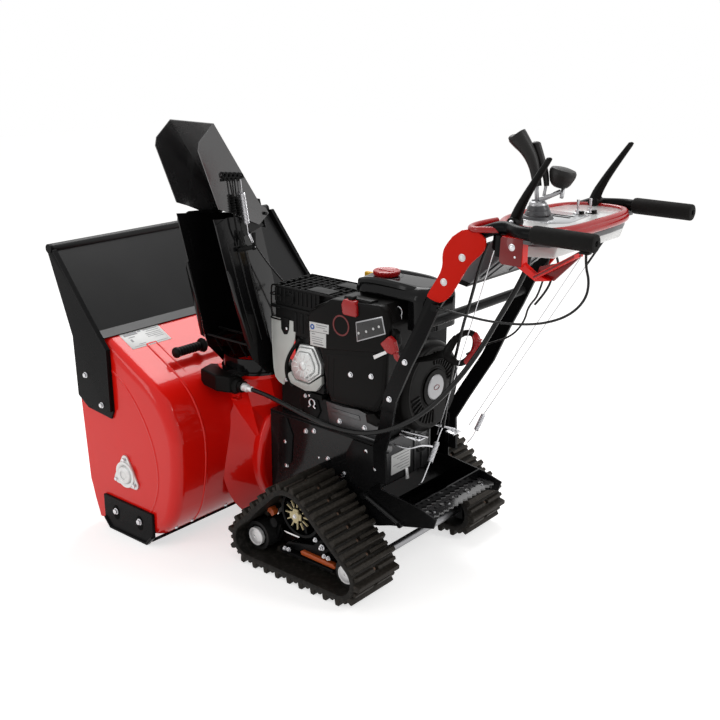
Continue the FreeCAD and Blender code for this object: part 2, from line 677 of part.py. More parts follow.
# ---- undercarriage -------------------------------------------------------------------
def hull_of_circles(circles, grow):
    """The closed outline, in X and Z, of a belt round three wheels of centre and radius."""
    tangents = []
    count = len(circles)
    for i in range(count):
        x0, z0, r0 = circles[i]
        x1, z1, r1 = circles[(i + 1) % count]
        length = math.hypot(x1 - x0, z1 - z0)
        along = math.atan2(z1 - z0, x1 - x0)
        lean = math.acos((r0 - r1) / length)
        a = along - lean
        tangents.append((a, (x0 + (r0 + grow) * math.cos(a), z0 + (r0 + grow) * math.sin(a)),
                         (x1 + (r1 + grow) * math.cos(a), z1 + (r1 + grow) * math.sin(a))))
    edges = []
    for i in range(count):
        a0, start, end = tangents[i]
        a1, after, unused = tangents[(i + 1) % count]
        x1, z1, r1 = circles[(i + 1) % count]
        middle = a0 + ((a1 - a0) % (2 * math.pi)) / 2
        reach = r1 + grow
        over = V(x1 + reach * math.cos(middle), 0, z1 + reach * math.sin(middle))
        edges.append(Part.LineSegment(V(start[0], 0, start[1]), V(end[0], 0, end[1])).toShape())
        edges.append(Part.Arc(V(end[0], 0, end[1]), over, V(after[0], 0, after[1])).toShape())
    return Part.Face(Part.Wire(edges))


def track_wheels():
    """The three wheels of a track, counter-clockwise seen from the right, with belt radii."""
    belt = TRACK_BELT + LUG
    return [(IDLER_X[1], IDLER_Z, IDLER_Z - belt), (IDLER_X[0], IDLER_Z, IDLER_Z - belt),
            (SPROCKET_X, SPROCKET_Z, SPROCKET_RISE - belt)]


def track():
    """The left rubber track: one loop whose outline takes in the lugs."""
    outer = hull_of_circles(track_wheels(), TRACK_BELT + LUG).extrude(V(0, TRACK_WIDTH, 0))
    inner = hull_of_circles(track_wheels(), CLEAR).extrude(V(0, TRACK_WIDTH + 20, 0))
    inner.translate(V(0, -10, 0))
    loop_belt = outer.cut(inner)
    loop_belt.translate(V(0, TRACK_OUT - TRACK_WIDTH, 0))
    return loop_belt


def track_idlers():
    """The left track's two idler wheels with their hub caps."""
    face = TRACK_OUT - WHEEL_IN
    wheels = []
    for x in IDLER_X:
        radius = IDLER_Z - TRACK_BELT - LUG - CLEAR
        wheel = rod((x, face - 58, IDLER_Z), (x, face - 6, IDLER_Z), radius)
        dish = rod((x, face - 12, IDLER_Z), (x, face, IDLER_Z), radius - 9)
        cap = rod((x, face - 14, IDLER_Z), (x, face, IDLER_Z), CAP_R)
        wheel = wheel.cut(dish).fuse(cap)
        hole = rod((x, face - 80, IDLER_Z), (x, face - 10, IDLER_Z), AXLE_R + GAP)
        wheels.append(wheel.cut(hole))
    return Part.makeCompound(wheels)


def idler_axles():
    """The two cross rods that carry the idlers of both tracks."""
    end = TRACK_OUT - WHEEL_IN - 12
    return Part.makeCompound([rod((x, -end, IDLER_Z), (x, end, IDLER_Z), AXLE_R) for x in IDLER_X])


def track_sprocket():
    """The left drive sprocket: a rim, six spokes and a square hub."""
    face = TRACK_OUT - WHEEL_IN
    centre = (SPROCKET_X, SPROCKET_Z)
    radius = SPROCKET_RISE - TRACK_BELT - LUG - CLEAR
    rim = rod((centre[0], face - 66, centre[1]), (centre[0], face - 14, centre[1]), radius)
    rim = rim.cut(rod((centre[0], face - 70, centre[1]), (centre[0], face, centre[1]), radius - 7))
    pieces = [rim, rod((centre[0], face - 70, centre[1]), (centre[0], face - 8, centre[1]), 19)]
    for i in range(6):
        spoke = block(centre[0] - 4, centre[0] + 4, face - 50, face - 20, centre[1],
                      centre[1] + radius - 3)
        spoke.rotate(V(centre[0], 0, centre[1]), V(0, 1, 0), 60 * i + 15)
        pieces.append(spoke)
    half = 11
    pieces.append(block(centre[0] - half, centre[0] + half, face - 12, face, centre[1] - half,
                        centre[1] + half))
    body = pieces[0].fuse(pieces[1:])
    return body.cut(rod((centre[0], face - 100, centre[1]), (centre[0], face - 16, centre[1]),
                        AXLE_R + 2 + GAP))


def drive_axle():
    end = TRACK_OUT - WHEEL_IN - 18
    return rod((SPROCKET_X, -end, SPROCKET_Z), (SPROCKET_X, end, SPROCKET_Z), AXLE_R + 2)


def track_frame():
    """The left track's carrier: a plate inside the loop with holes for its axles."""
    face = TRACK_OUT - WHEEL_IN
    inner = face - 100
    plate = side_plate([(IDLER_X[1] - 22, IDLER_Z - 20), (IDLER_X[0] + 22, IDLER_Z - 20),
                        (IDLER_X[0] + 20, IDLER_Z + 16), (SPROCKET_X + 34, SPROCKET_Z + 24),
                        (SPROCKET_X - 34, SPROCKET_Z + 24), (IDLER_X[1] - 20, IDLER_Z + 16)],
                       inner, inner + 6)
    rail = block(IDLER_X[1] + 60, IDLER_X[0] - 60, inner, face - 20, IDLER_Z - 28, IDLER_Z - 20)
    holes = [rod((x, 0, IDLER_Z), (x, 400, IDLER_Z), AXLE_R + GAP) for x in IDLER_X]
    holes.append(rod((SPROCKET_X, 0, SPROCKET_Z), (SPROCKET_X, 400, SPROCKET_Z), AXLE_R + 2 + GAP))
    return plate.fuse(rail).cut(holes)


def chassis():
    """The folded frame between the tracks: sides, front wall, engine plate and a rear tray."""
    half = CHASSIS_HALF
    t = CHASSIS_T
    low = CHASSIS_BOTTOM - 60
    front = CHASSIS_FRONT
    belly = [(-90, 118), (-171, 138), (-206, 150), (SIDE_REAR + 8, 183)]
    outline = [(front, CHASSIS_BOTTOM), (front, CHASSIS_TOP), (CHASSIS_REAR, CHASSIS_TOP),
               (CHASSIS_REAR, TRAY_TOP + 14), (TRAY_REAR - 14, TRAY_TOP), (SIDE_REAR, TRAY_TOP - 14)]
    outline += belly[::-1] + [(20, low), (front - 40, low)]
    body = side_plate(outline, -half, half)
    under = CHASSIS_TOP - t
    tray = [(front - t, low - 10), (front - t, under), (CHASSIS_REAR - 10, under),
            (CHASSIS_REAR - 10, CHASSIS_TOP + 10), (TRAY_REAR + t, CHASSIS_TOP + 10), (TRAY_REAR + t, 172),
            (-200, 156), (-90, 124), (-60, low - 10)]
    behind = [(TRAY_REAR, CHASSIS_TOP), (TRAY_REAR, 0), (SIDE_REAR - 10, 0), (SIDE_REAR - 10, CHASSIS_TOP)]
    body = body.cut([side_plate(tray, t - half, half - t), side_plate(behind, t - half, half - t)])
    cuts = [rod((SPROCKET_X, -400, SPROCKET_Z), (SPROCKET_X, 400, SPROCKET_Z), AXLE_R + 2 + GAP)]
    for x in IDLER_X:
        cuts.append(rod((x, -400, IDLER_Z), (x, 400, IDLER_Z), AXLE_R + GAP))
    cuts.append(rod((0, 0, DRUM_Z), (400, 0, DRUM_Z), 40))
    return body.cut(cuts)


def transmission():
    """The gear case under the engine plate, seen from behind."""
    case = block(-150, 60, 34 - CHASSIS_HALF, CHASSIS_HALF - 26, 212, CHASSIS_TOP - CHASSIS_T - GAP)
    return rounded(case, 12, lambda e: True)


def footplate():
    """The toothed step between the side plates, behind the tray."""
    half = CHASSIS_HALF - CHASSIS_T - GAP
    front = TRAY_REAR - GAP
    teeth = 14
    step = 2 * half / teeth
    depth = 7
    points = []
    for x, tip, sign in ((front - depth, front, 1), (FOOT_REAR, FOOT_REAR - depth, -1)):
        points.append((x, -half * sign))
        for i in range(teeth):
            y = (step * (i + 0.5) - half) * sign
            points.append((tip, y))
            points.append((x, y + step / 2 * sign))
    plate = floor_plate(points, FOOT_Z, FOOT_Z + 4)
    ribs = [block(FOOT_REAR + 3, front - depth - 2, y - 2, y + 2, FOOT_Z - 14, FOOT_Z + 1)
            for y in (2 - half, half - 2)]
    holes = []
    for i in range(5):
        y = half * 0.8 * (i / 2 - 1)
        holes.append(rod(((front + FOOT_REAR) / 2, y, FOOT_Z - 1),
                         ((front + FOOT_REAR) / 2, y, FOOT_Z + 6), 7))
    return plate.fuse(ribs).cut(holes)


# ---- engine --------------------------------------------------------------------------
def belt_cover():
    """The plastic cover over the belts, between the engine and the drum."""
    body = block(ENGINE_FRONT + GAP, CHASSIS_FRONT - 22, -COVER_HALF, COVER_HALF, CHASSIS_TOP + GAP, 470)
    return rounded(body, 18, lambda e: runs_along(e, (1, 0, 0)) and e.BoundBox.ZMin > 460)


def engine_block():
    """The engine's crankcase and cylinder as one heavy block."""
    base = CHASSIS_TOP + GAP
    crankcase = block(ENGINE_REAR, ENGINE_FRONT, -ENGINE_HALF, 12, base, ENGINE_TOP)
    left = block(ENGINE_REAR, ENGINE_FRONT, 12, ENGINE_LEFT, base, GUARD_FOOT)
    head = block(-4, 88, ENGINE_LEFT, HEAD_Y, 436, GUARD_FOOT)
    foot = block(ENGINE_REAR + 20, ENGINE_FRONT - 20, ENGINE_LEFT, 122, base, base + 60)
    return joined([crankcase, left, head, foot])


def valve_cover():
    """The six-sided cast cover on the cylinder head."""
    x = VALVE_X
    z = VALVE_Z
    outline = [(x + 30, z + 52), (x - 14, z + 50), (x - 38, z + 8), (x - 34, z - 28), (x + 4, z - 52),
               (x + 40, z - 30), (x + 44, z + 14)]
    plate = side_plate(outline, HEAD_Y + GAP, HEAD_Y + 14)
    small = [(x + (px - x) * 0.72, z + (pz - z) * 0.72) for px, pz in outline]
    return plate.fuse(side_plate(small, HEAD_Y + 4, HEAD_Y + 26))


def heat_shield():
    """The pale sheet between the muffler and the chute."""
    outline = [(146, GUARD_FOOT + 26), (138, 462), (128, 440), (104, 430), (92, 444), (86, 520),
               (92, GUARD_FOOT + 26)]
    return side_plate(outline, MUFFLER_Y1 + GAP, MUFFLER_Y1 + 2)


def muffler_guard():
    """The black box over the muffler, open at the top under a grid."""
    top = MUFFLER_TOP
    body = block(MUFFLER_X0, MUFFLER_X1, MUFFLER_Y0, MUFFLER_Y1, GUARD_FOOT + GAP, top)
    body = rounded(body, 12, lambda e: runs_along(e, (0, 0, 1)))
    room = block(MUFFLER_X0 + 4, MUFFLER_X1 - 4, MUFFLER_Y0 + 4, MUFFLER_Y1 - 4, top - 40, top + 5)
    shell = body.cut(rounded(room, 8, lambda e: runs_along(e, (0, 0, 1))))
    bars = []
    for i in range(1, 8):
        x = MUFFLER_X0 + (MUFFLER_X1 - MUFFLER_X0) * i / 8
        bars.append(block(x - 2, x + 2, MUFFLER_Y0 + 2, MUFFLER_Y1 - 2, top - 6, top - 2))
    for i in range(1, 4):
        y = MUFFLER_Y0 + (MUFFLER_Y1 - MUFFLER_Y0) * i / 4
        bars.append(block(MUFFLER_X0 + 2, MUFFLER_X1 - 2, y - 2, y + 2, top - 6, top - 2))
    beside = block(MUFFLER_X0 - 5, -2, ENGINE_LEFT - 2, 300, 0, 900)
    return shell.fuse(bars).cut(beside)


def carburettor_cover():
    """The moulded cover on the engine's left side, with the controls on it."""
    outline = [(-6, 664), (-60, 690), (-206, 700), (-226, 660), (-222, 490), (-190, 446), (-56, 440),
               (-44, 470)]
    body = side_plate(outline, ENGINE_LEFT + GAP, COVER_Y)
    body = rounded(body, 10, lambda e: abs(e.BoundBox.Center.y - COVER_Y) < 0.01)
    return body.cut(rod((ENGINE_REAR - 90, CRANK_Y, CRANK_Z), (ENGINE_REAR + GAP, CRANK_Y, CRANK_Z),
                        RECOIL_R + GAP))


def choke_knob():
    knob = rounded(block(-152, -122, 150, 176, 680, 726), 5, lambda e: runs_along(e, (0, 0, 1)))
    return knob.cut(carburettor_cover())


def stop_key():
    """The pull-out stop key in the cover's rear face."""
    stem = rod((-220, 166, 628), (-244, 166, 628), 7).cut(carburettor_cover())
    head = rounded(block(-262, -240, 158, 178, 606, 650), 6, lambda e: runs_along(e, (0, 1, 0)))
    return stem.fuse(head)


def fuel_tank():
    body = block(TANK_X0, TANK_X1, TANK_RIGHT, ENGINE_HALF, ENGINE_TOP + GAP, TANK_TOP)
    body = rounded(body, TANK_CORNER, lambda e: runs_along(e, (0, 0, 1)))
    body = rounded(body, TANK_HUMP, lambda e: abs(e.BoundBox.ZMin - TANK_TOP) < 0.01)
    return body.cut(block(-240, 0, ENGINE_LEFT - 2, 200, 600, 706))


def fuel_cap():
    top = TANK_TOP + CAP_RISE
    return rounded(rod((CAP_X, CAP_Y, TANK_TOP + GAP), (CAP_X, CAP_Y, top), FUEL_CAP_R), 4,
                   lambda e: e.BoundBox.ZMin > top - 1)


def dipstick():
    """The yellow oil filler handle beside the muffler guard."""
    tube = rod((DIP_X, 2, ENGINE_TOP + GAP), (DIP_X, 2, 706), 9)
    head = rounded(block(DIP_X - 20, DIP_X + 20, -6, 10, 700, 718), 3, lambda e: runs_along(e, (0, 1, 0)))
    return tube.fuse(head)


def recoil_cover():
    """The starter's cover on the rear of the engine, with slots round its rim."""
    x0 = ENGINE_REAR - GAP
    x1 = ENGINE_REAR - RECOIL_T
    body = rod((x0, CRANK_Y, CRANK_Z), (x1, CRANK_Y, CRANK_Z), RECOIL_R)
    body = rounded(body, 22, lambda e: abs(e.BoundBox.Center.x - x1) < 0.01 and e.BoundBox.XLength < 0.01)
    boss = rod((x1 + 1, CRANK_Y, CRANK_Z), (x1 - 5, CRANK_Y, CRANK_Z), 44)
    return body.fuse(boss)


def starter_handle():
    """The pull handle on its rope, parked behind the recoil cover."""
    stem = rod((ENGINE_REAR - RECOIL_T + 20, 72, 548), (-332, 72, 594), 5).cut(recoil_cover())
    bar = rounded(block(-352, -330, 36, 108, 584, 606), 6, lambda e: runs_along(e, (0, 1, 0)))
    return stem.fuse(bar)


# ---- handles -------------------------------------------------------------------------
def strip_sections(points, width, thick):
    """Sections of a flat bar along a line that may also bend in Y."""
    sections = []
    for i, (x, y, z) in enumerate(points):
        before = points[max(i - 1, 0)]
        after = points[min(i + 1, len(points) - 1)]
        dx = after[0] - before[0]
        dz = after[2] - before[2]
        length = math.hypot(dx, dz)
        nx = -dz / length * width / 2
        nz = dx / length * width / 2
        low = y - thick / 2
        high = y + thick / 2
        sections.append([(x + nx, low, z + nz), (x - nx, low, z - nz), (x - nx, high, z - nz),
                         (x + nx, high, z + nz)])
    return sections


def strut():
    """The left upright: a flat bar from the chassis' side out and up to the gusset."""
    bar = faceted(strip_sections(STRUT_LINE, STRUT_W, STRUT_T))
    y = STRUT_Y + STRUT_T / 2 - 1
    clip = block(WIRE_X, WIRE_X + 14, y, WIRE_Y + 6, WIRE_Z - 7, WIRE_Z + 7)
    return bar.fuse(clip)


def cross_tube():
    """The tube that ties the two struts."""
    end = STRUT_Y - STRUT_T / 2 - GAP
    return rod((CROSS_X, -end, CROSS_Z), (CROSS_X, end, CROSS_Z), 11)


def gusset():
    """The left red gusset between strut and handlebar."""
    y0 = STRUT_Y + STRUT_T / 2 + GAP
    outline = [(-406, 884), (-429, 900), (-459, 904), (-486, 889), (-482, 867), (-450, 834), (-430, 800),
               (-404, 759), (-380, 742), (-347, 750), (-354, 761), (-384, 814), (-386, 855)]
    return side_plate(outline, y0, y0 + 5)


def handlebar():
    """The left handlebar tube, from the gusset up and back to the grip."""
    y = STRUT_Y + STRUT_T / 2 - BAR_R
    points = [(-422, y, 828), (-458, y, 894), (-508, y, GRIP_Z), (-532, y, GRIP_Z),
              (-566, GRIP_Y, GRIP_Z), (-REACH + 20, GRIP_Y, GRIP_Z)]
    return pipe(points, BAR_R, 60)[0]


def grip():
    tube = rod((-REACH, GRIP_Y, GRIP_Z), (-REACH + GRIP_LENGTH, GRIP_Y, GRIP_Z), GRIP_R)
    tube = rounded(tube, 3, lambda e: e.BoundBox.XLength < 0.01)
    return tube.cut(rod((-REACH + 19, GRIP_Y, GRIP_Z), (0, GRIP_Y, GRIP_Z), BAR_R + GAP))


def paddle():
    """The left tapered control paddle above the grip."""
    foot = (-526, 160, 934)
    tip = (-596, 168, 1052)
    body = faceted([[(foot[0] - 15, foot[1] - 6, foot[2]), (foot[0] + 15, foot[1] - 6, foot[2]),
                     (foot[0] + 15, foot[1] + 6, foot[2]), (foot[0] - 15, foot[1] + 6, foot[2])],
                    [(tip[0] - 7, tip[1] - 5, tip[2]), (tip[0] + 5, tip[1] - 5, tip[2]),
                     (tip[0] + 5, tip[1] + 5, tip[2]), (tip[0] - 7, tip[1] + 5, tip[2])]])
    stem = block(foot[0] - 12, foot[0] + 12, foot[1] - 5, foot[1] + 5, DASH_Z + 10 + GAP, foot[2] + 2)
    return body.fuse(stem)


def steering_trigger():
    """The left steering trigger on its red box under the handlebar."""
    box = block(-572, -524, 186, 206, 846, GRIP_Z - BAR_R - CLEAR)
    arm = side_plate([(-556, 864), (-596, 838), (-632, 828), (-600, 822), (-552, 848)], 190, 202)
    pad = faceted([[(-600, 184, 826), (-600, 208, 826), (-596, 208, 834), (-596, 184, 834)],
                   [(-686, 178, 880), (-686, 214, 880), (-684, 214, 888), (-684, 178, 888)]])
    return box.fuse([arm, pad])


def dash_panel():
    """The console between the handlebars."""
    left = [(-455, 60), (-470, 120), (-500, 168), (-580, 173), (-616, 150), (-624, 90)]
    right = [(x, -y) for x, y in reversed(left)]
    body = floor_plate(left + right, DASH_Z - 30, DASH_Z + 10)
    under = GRIP_Z - BAR_R - CLEAR
    tie = block(-592, -576, -GRIP_Y - 4, GRIP_Y + 4, under - 8, under)
    return joined([body, tie])


def dash_lamp():
    """The lamp housing that slopes forward and down from the front of the console."""
    top = DASH_Z - 30 - GAP
    return side_plate([(-456, top), (-492, top), (-492, 852), (-397, 768), (-374, 772), (-374, 800)],
                      -LAMP_HALF, LAMP_HALF)


def chute_lever():
    """The chute's joystick: a rubber boot, a bent bracket and a flared handle."""
    boot = cone((-515, 60, DASH_Z + 10 + GAP), (-515, 60, DASH_Z + 44), 34, 17)
    neck = rod((-515, 60, DASH_Z + 40), (-506, 60, 968), 9)
    handle = faceted([[(-517, 52, 966), (-497, 52, 966), (-497, 68, 966), (-517, 68, 966)],
                      [(-474, 48, 1084), (-440, 48, 1076), (-440, 72, 1076), (-474, 72, 1084)]])
    return boot.fuse([neck, handle])


def speed_lever():
    """The speed lever beside the joystick, with its broad knob."""
    top = DASH_Z + 10 + GAP
    post = rod((-532, 8, top), (-532, 8, top + 16), 10)
    arm = rod((-532, 8, top + 6), (-560, 20, 985), 6)
    knob = rod((-558, 20, 978), (-576, 22, 1016), 22)
    second = rod((-532, 8, top + 6), (-480, 2, 1060), 7)
    return post.fuse([arm, knob, second])


# ---- cords ---------------------------------------------------------------------------
def flexible_shaft():
    """The sheathed shaft from the joystick to the chute's worm case, held by both."""
    points = [(SHAFT_X - GAP, SHAFT_Y, SHAFT_Z), (140, SHAFT_Y, SHAFT_Z), (60, 219, 418), (-30, 223, 406),
              (-120, 226, 401), (-205, 226, 411), (-285, 223, 445), (-355, 207, 497), (-402, 170, 562),
              (-437, 136, 632), (-463, 106, 704), (-490, 82, 770), (-506, 66, 824),
              (-506, 66, DASH_Z - 30 - GAP)]
    return cord("flexible_shaft", points, 5.5)


def grip_wire():
    """The heated grip's lead, in a loose loop from the left grip to the strut's clip."""
    points = [(-708, GRIP_Y, GRIP_Z - GRIP_R - GAP), (-708, GRIP_Y, 872), (-718, 209, 842),
              (-712, 207, 806), (-680, 205, 770), (-630, 204, 745), (-570, 204, 731), (-500, 205, 725),
              (-430, 206, 728), (WIRE_X - GAP, WIRE_Y, WIRE_Z)]
    return cord("grip_wire", points, 2.5)


def cord(name, points, radius):
    tube, radii, length = pipe(points, radius)
    share = tube.Volume / (math.pi * radius * radius * length)
    print(name, "radii", [round(r) for r in radii], "volume over section times length", round(share, 4))
    return tube


# ---- the assembly --------------------------------------------------------------------
NODES = {
    "auger_housing": auger_housing(), "impeller_housing": impeller_housing(), "visor": visor(),
    "scraper_bar": scraper_bar(), "auger_shaft": auger_shaft(), "auger_gearbox": auger_gearbox(),
    "auger_left": auger_half(1), "auger_right": auger_half(-1), "impeller": impeller(),
    "chute": chute(), "chute_deflector": chute_deflector(), "chute_guard": chute_guard(),
    "chute_gearbox": chute_gearbox(), "clean_out_tool": clean_out_tool(), "tool_clips": tool_clips(),
    "idler_axles": idler_axles(), "drive_axle": drive_axle(), "chassis": chassis(),
    "transmission": transmission(), "footplate": footplate(), "belt_cover": belt_cover(),
    "engine_block": engine_block(), "valve_cover": valve_cover(), "heat_shield": heat_shield(),
    "muffler_guard": muffler_guard(), "carburettor_cover": carburettor_cover(),
    "choke_knob": choke_knob(), "stop_key": stop_key(), "fuel_tank": fuel_tank(),
    "fuel_cap": fuel_cap(), "dipstick": dipstick(), "recoil_cover": recoil_cover(),
    "starter_handle": starter_handle(), "cross_tube": cross_tube(),
    "steering_trigger": steering_trigger(), "dash_panel": dash_panel(), "dash_lamp": dash_lamp(),
    "chute_lever": chute_lever(), "speed_lever": speed_lever(), "flexible_shaft": flexible_shaft(),
    "grip_wire": grip_wire(),
}
PAIRS = {
    "visor_brackets": visor_bracket(), "skid_shoes": skid_shoe(), "auger_bearings": auger_bearing(),
    "track_idlers": track_idlers(), "track_sprockets": track_sprocket(),
    "track_frames": track_frame(), "struts": strut(), "gussets": gusset(),
    "handlebars": handlebar(), "grips": grip(), "paddles": paddle(),
}
for name, shape in PAIRS.items():
    NODES[name] = Part.makeCompound(shape.Solids + other_side(shape).Solids)
NODES["track_left"] = track()
NODES["track_right"] = other_side(NODES["track_left"])

os.makedirs("parts", exist_ok=True)
for name, shape in NODES.items():
    assert shape.isValid() and shape.Volume > 0, name
    shape.exportStep("parts/" + name + ".step")
print(len(NODES), "nodes")
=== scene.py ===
"""Looks for a tracked walk-behind snow blower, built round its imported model."""
import json
import math

import bmesh
import bpy
from mathutils import Matrix, Vector


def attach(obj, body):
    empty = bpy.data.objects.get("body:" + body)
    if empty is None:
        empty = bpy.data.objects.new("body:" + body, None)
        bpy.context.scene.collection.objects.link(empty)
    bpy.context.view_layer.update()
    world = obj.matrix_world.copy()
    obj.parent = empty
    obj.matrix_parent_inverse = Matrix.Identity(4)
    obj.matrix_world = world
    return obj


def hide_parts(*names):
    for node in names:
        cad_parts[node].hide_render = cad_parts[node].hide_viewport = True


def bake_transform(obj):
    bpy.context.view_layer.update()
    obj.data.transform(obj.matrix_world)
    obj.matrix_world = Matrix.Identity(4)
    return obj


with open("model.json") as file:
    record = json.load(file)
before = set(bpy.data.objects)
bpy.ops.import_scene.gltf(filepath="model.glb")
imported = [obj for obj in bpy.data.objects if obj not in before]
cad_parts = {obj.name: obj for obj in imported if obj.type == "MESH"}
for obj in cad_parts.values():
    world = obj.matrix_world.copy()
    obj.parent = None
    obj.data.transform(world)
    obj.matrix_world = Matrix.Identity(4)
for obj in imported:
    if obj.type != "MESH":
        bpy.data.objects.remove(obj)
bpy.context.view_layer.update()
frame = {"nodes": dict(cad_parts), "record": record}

bl_info = {"name": "Tracked snow blower", "version": (1, 0, 0), "blender": (4, 5, 0),
    "location": "3D View > Sidebar > Snow Blower",
    "description": "Builds the visible pieces and finishes of a tracked snow blower",
    "category": "Object",}

MM = 0.001
LEFT = Vector((0, 1, 0))
UP = Vector((0, 0, 1))
FORWARD = Vector((1, 0, 0))
# A turn in eight steps, in radians
EIGHTHS_OF_TURN = (0, 0.8, 1.57, 2.35, 3.14, 3.93, 4.71, 5.5)

# Metres, degrees and millimetres of lens
CAMERA_PLACE = (-1.607, 1.927, 1.307)
CAMERA_HEADING, CAMERA_TILT, CAMERA_ROLL = -50.1, -18.1, 0.2
CAMERA_LENS, CAMERA_SENSOR = 52.9, 36.0
# Metres
USUAL_EDGE = 0.0012
# Degrees: edges that turn less than this look smooth
SMOOTH_UNDER = 35.0
# Millimetres from here on. A turned profile starts and ends this near its axis
AXIS = 0.001
BELT_LENGTH = 970.0
TRACK_INSIDE, TRACK_OUTSIDE = 155, 305
BELT_FACE, BELT_BACK = 0.5, 14.0
IDLER_PLACES, IDLER_HEIGHT = (-183, 113), 68
WHEELS = (*((x, IDLER_HEIGHT, 38) for x in IDLER_PLACES), (-25, 168, 62))
TRACK_BOLTS = ((22, 62), (9, 63), (-107, 85), (-120, 84))
SKID_BOLTS = (414, 510)
HOUSING_EDGE, HOUSING_BEND = (548, 540), (372, 451)
HOUSING_SIDE = 387.5
AUGER_X, AUGER_Z = 463, 175
CHUTE_X, CHUTE_Y, CHUTE_FOOT, CHUTE_LEAN = 260, 108, 462, 14.5
# Given with the boots and springs: the deflector and two places, in metres
CHUTE_BENDS = ("deflector", (0.1805, 0.206, 0.838), (0.1805, 0.246, 0.944))
CHASSIS_SIDE = 138.2
VALVE_COVER = (42, 505)
FUEL_CAP = (-130, 66)
RECOIL_Y, RECOIL_Z = 8, 470
JOYSTICK = (-514, 60)
GRIP_Y, GRIP_Z = 210, 914
CONSOLE_OUTLINE = ((-466, -118), (-455, -60), (-452, 0), (-455, 60), (-466, 118), (-486, 152),
    (-520, 170), (-574, 173), (-604, 160), (-619, 120), (-624, 60), (-624, -60), (-619, -120),
    (-604, -160), (-574, -173), (-520, -170), (-486, -152))
TOGGLES = ((-552, -38), (-566, -66))


def metres(points):
    """Points given in millimetres, in metres."""
    return [Vector(point) * MM for point in points]


def at_y(y, *places):
    """Places given in x and z, all at one y."""
    return [(x, y, z) for x, z in places]


def oblong(left, low, right, high):
    """Corners of an upright rectangle."""
    return [(left, low), (right, low), (right, high), (left, high)]


class Sock:
    """A shader value that adds its Math nodes when it is used like a number."""

    def __init__(self, tree, socket):
        self.tree = tree
        self.socket = socket

    def maths(self, operation, *values):
        node = self.tree.nodes.new("ShaderNodeMath")
        node.operation = operation
        for place, value in enumerate(values):
            if isinstance(value, Sock):
                self.tree.links.new(value.socket, node.inputs[place])
            else:
                node.inputs[place].default_value = value
        return Sock(self.tree, node.outputs[0])

    def __add__(self, other):
        return self.maths("ADD", self, other)

    def __sub__(self, other):
        return self.maths("SUBTRACT", self, other)

    def __mul__(self, other):
        return self.maths("MULTIPLY", self, other)

    def clamped(self):
        return self.maths("MINIMUM", self.maths("MAXIMUM", self, 0.0), 1.0)


class Finish:
    """One procedural finish, laid out on the piece's own coordinates in metres."""

    def __init__(self, name):
        self.material = bpy.data.materials.new(name)
        self.material.use_nodes = True
        self.tree = self.material.node_tree
        self.tree.nodes.clear()
        self.place = self.node("ShaderNodeTexCoord", {}, {}, "Object")

    def node(self, kind, settings, sockets, out=0):
        node = self.tree.nodes.new(kind)
        for key, value in settings.items():
            setattr(node, key, value)
        for key, value in sockets.items():
            if isinstance(value, Sock):
                self.tree.links.new(value.socket, node.inputs[key])
            else:
                node.inputs[key].default_value = value
        return Sock(self.tree, node.outputs[out]) if node.outputs else node

    def noise(self, scale, detail=2.0):
        return self.node("ShaderNodeTexNoise", {}, {"Vector": self.place, "Scale": scale,
            "Detail": detail}, "Fac")

    def blend(self, share, first, second):
        def colour(value):
            return value if isinstance(value, Sock) else (*value, 1.0)
        return self.node("ShaderNodeMix", {"data_type": "RGBA", "clamp_factor": True},
            {0: share, 6: colour(first), 7: colour(second)}, 2)

    def bump(self, height, depth, below=None):
        sockets = {"Height": height, "Strength": 1.0, "Distance": depth}
        if below:
            sockets["Normal"] = below
        return self.node("ShaderNodeBump", {}, sockets, "Normal")

    def edges(self):
        """About 1 where the surface turns over an outer edge, 0 on flats."""
        sharp = self.node("ShaderNodeNewGeometry", {}, {}, "Pointiness")
        return ((sharp - 0.52) * 6.0).clamped()

    def done(self, **sockets):
        shader = self.node("ShaderNodeBsdfPrincipled", {}, {})
        principled = shader.socket.node
        for key, value in sockets.items():
            socket = principled.inputs[key.replace("_", " ")]
            if isinstance(value, Sock):
                self.tree.links.new(value.socket, socket)
            else:
                socket.default_value = value
        self.node("ShaderNodeOutputMaterial", {}, {"Surface": shader})
        return self.material


# Filled by moulded()
FINISHES = {}
# Construction nodes whose finish isn't named like their slot
NODE_LOOKS = {"visor": "visor_sheet", "dash_lamp": "panel_grey", "transmission": "dull_alloy",
    "chassis": "black_gloss", "chute_deflector": "bright_black", "footplate": "bright_black",
    "idler_axles": "dark_steel", "drive_axle": "dark_steel"}


def look_of(row):
    """The finish of a construction node, by its row in the record."""
    return NODE_LOOKS.get(row["node"], row["material_slot"])


def shade(colour, factor):
    """The colour, lighter or darker."""
    return tuple(min(1.0, part * factor) for part in colour)


